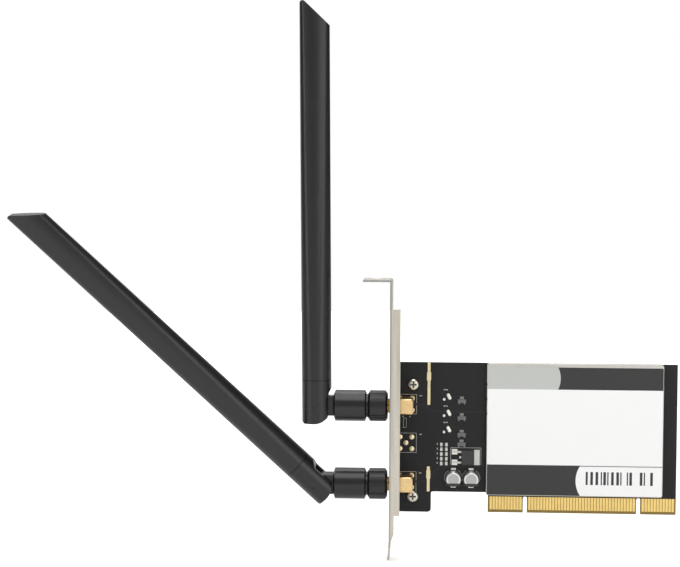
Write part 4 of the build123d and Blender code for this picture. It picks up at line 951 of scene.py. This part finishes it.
class NETCARD_OT_stage(Operator):
    """Set the floor, the white surround, the lamps and the camera"""
    bl_idname = "netcard.stage"
    bl_label = "Stage"

    def execute(self, context):
        scene, stage = context.scene, context.scene.card_stage
        scene.view_settings.view_transform = "Standard"
        self.surround(scene, stage)
        self.floor(scene, stage)
        middle = (CAD_BOX[0] + CAD_BOX[1]) / 2
        for name, power, place, size in LAMPS:
            lamp = bpy.data.lights.new(name, "AREA")
            lamp.energy = getattr(stage, power)
            lamp.shape = "RECTANGLE"
            lamp.size, lamp.size_y = size
            held = bpy.data.objects.new(name, lamp)
            held.location = place
            held.rotation_euler = (middle - Vector(place)).to_track_quat("-Z", "Y").to_euler()
            scene.collection.objects.link(held)
        self.camera(scene, stage)
        return {"FINISHED"}

    def surround(self, scene, stage):
        """White to the camera and a plain level as light.

        In reflections it is grey before the card, dark beside it and white behind it.
        """
        world = bpy.data.worlds.new("white_surround")
        world.use_nodes = True
        world.node_tree.nodes.clear()
        add = partial(put, world.node_tree)
        way = add("TexCoord", out="Generated")
        axis = (-math.sin(stage.dark_turn), math.cos(stage.dark_turn), 0)
        along = add("VectorMath", "DOT_PRODUCT", {0: way, 1: axis}, "Value")
        before = add("MapRange", SMOOTH, {
            "Value": along, "From Min": -0.9, "From Max": -0.3,
            "To Min": stage.reflected, "To Max": stage.shaded})
        behind = add("MapRange", SMOOTH, {"Value": along, "From Min": 0.5, "From Max": 0.95})
        room = add("Math", "MAXIMUM", {0: before, 1: behind})
        passed_on, seen = ray_kinds(add)
        level = add("Mix", (), {0: passed_on, 2: stage.ambient, 3: room})
        strength = add("Math", "MAXIMUM", {0: level, 1: seen})
        glow = add("Background", (), {"Color": (1, 1, 1, 1), "Strength": strength})
        add("OutputWorld", (), {"Surface": glow})
        scene.world = world

    def floor(self, scene, stage):
        """A round pale floor, which turns to plain white away from the card and keeps its shadow near it."""
        radius = np.linspace(*FLOOR_RADII, FLOOR_RINGS)[:, None]
        angle = np.linspace(0, 2 * np.pi, FLOOR_SPOKES, endpoint=False)[None, :]
        height = CAD_BOX[0].z - FLOOR_GAP
        rings = np.stack([radius * np.cos(angle), radius * np.sin(angle), height + 0 * radius * angle], -1)
        points, faces = skin(rings)
        mesh = bpy.data.meshes.new("floor")
        mesh.from_pydata(points.tolist(), [], faces[:-1])
        material, add, place = begin("paper_sweep_matt")
        far = add("VectorMath", "LENGTH", {0: place}, "Value")
        glow = add("MapRange", SMOOTH, {
            "Value": far, "From Min": 0.25, "From Max": 1.1, "To Min": 0.42, "To Max": 1.0})
        passed_on, seen = ray_kinds(add)
        share = add("Math", "MULTIPLY_ADD", {0: passed_on, 1: stage.reflected, 2: seen})
        shown = add("Math", "MULTIPLY", {0: glow, 1: share})
        mesh.materials.append(end(material, add, {
            "Base Color": stage.floor_colour, "Roughness": 0.9, "Specular IOR Level": 0.0,
            "Emission Color": (1, 1, 1, 1), "Emission Strength": shown}))
        floor = bpy.data.objects.new("floor", mesh)
        scene.collection.objects.link(floor)

    def camera(self, scene, stage):
        """The camera looks along (-sin yaw cos pitch, cos yaw cos pitch, -sin pitch), turned by its roll."""
        lens = bpy.data.cameras.new("camera")
        lens.lens = stage.focal_length
        lens.sensor_width = SENSOR_WIDTH
        lens.sensor_fit = "HORIZONTAL"
        lens.clip_start = NEAR_CLIP
        level = math.cos(stage.pitch)
        ahead = Vector((-math.sin(stage.yaw) * level, math.cos(stage.yaw) * level, -math.sin(stage.pitch)))
        right = Vector((math.cos(stage.yaw), math.sin(stage.yaw), 0))
        up = right.cross(ahead)
        right, up = (math.cos(stage.roll) * right + math.sin(stage.roll) * up,
                     math.cos(stage.roll) * up - math.sin(stage.roll) * right)
        held = bpy.data.objects.new("camera", lens)
        turn = Matrix((right, up, -ahead)).transposed().to_4x4()
        held.matrix_world = Matrix.Translation(stage.camera_place) @ turn
        scene.collection.objects.link(held)
        scene.camera = held


GROUPS = {"card_sizes": CardSizes, "card_colours": CardColours, "card_stage": StageSettings}
OPERATORS = (
    NETCARD_OT_board, NETCARD_OT_solder, NETCARD_OT_outlines, NETCARD_OT_traces, NETCARD_OT_small_parts,
    NETCARD_OT_bracket, NETCARD_OT_shield, NETCARD_OT_jacks, NETCARD_OT_antennas, NETCARD_OT_stage)


class NETCARD_PT_panel(Panel):
    """Lists the pieces in the order in which they are made"""
    bl_idname = "NETCARD_PT_panel"
    bl_label = "Network card"
    bl_space_type = "VIEW_3D"
    bl_region_type = "UI"
    bl_category = "Network card"

    def draw(self, context):
        for operator in OPERATORS:
            self.layout.operator(operator.bl_idname)
        for group in GROUPS:
            held = getattr(context.scene, group)
            for name in type(held).__annotations__:
                self.layout.prop(held, name)


def register():
    """Register the groups, the operators and the panel."""
    for name, group in GROUPS.items():
        bpy.utils.register_class(group)
        setattr(bpy.types.Scene, name, PointerProperty(type=group))
    for operator in (*OPERATORS, NETCARD_PT_panel):
        bpy.utils.register_class(operator)


def unregister():
    """Take everything off again, in the opposite order."""
    for operator in reversed((*OPERATORS, NETCARD_PT_panel)):
        bpy.utils.unregister_class(operator)
    for name, group in reversed(GROUPS.items()):
        delattr(bpy.types.Scene, name)
        bpy.utils.unregister_class(group)


def main():
    """Make every piece and the stage."""
    register()
    for operator in OPERATORS:
        group, name = operator.bl_idname.split(".")
        getattr(getattr(bpy.ops, group), name)()


if __name__ == "__main__":
    main()
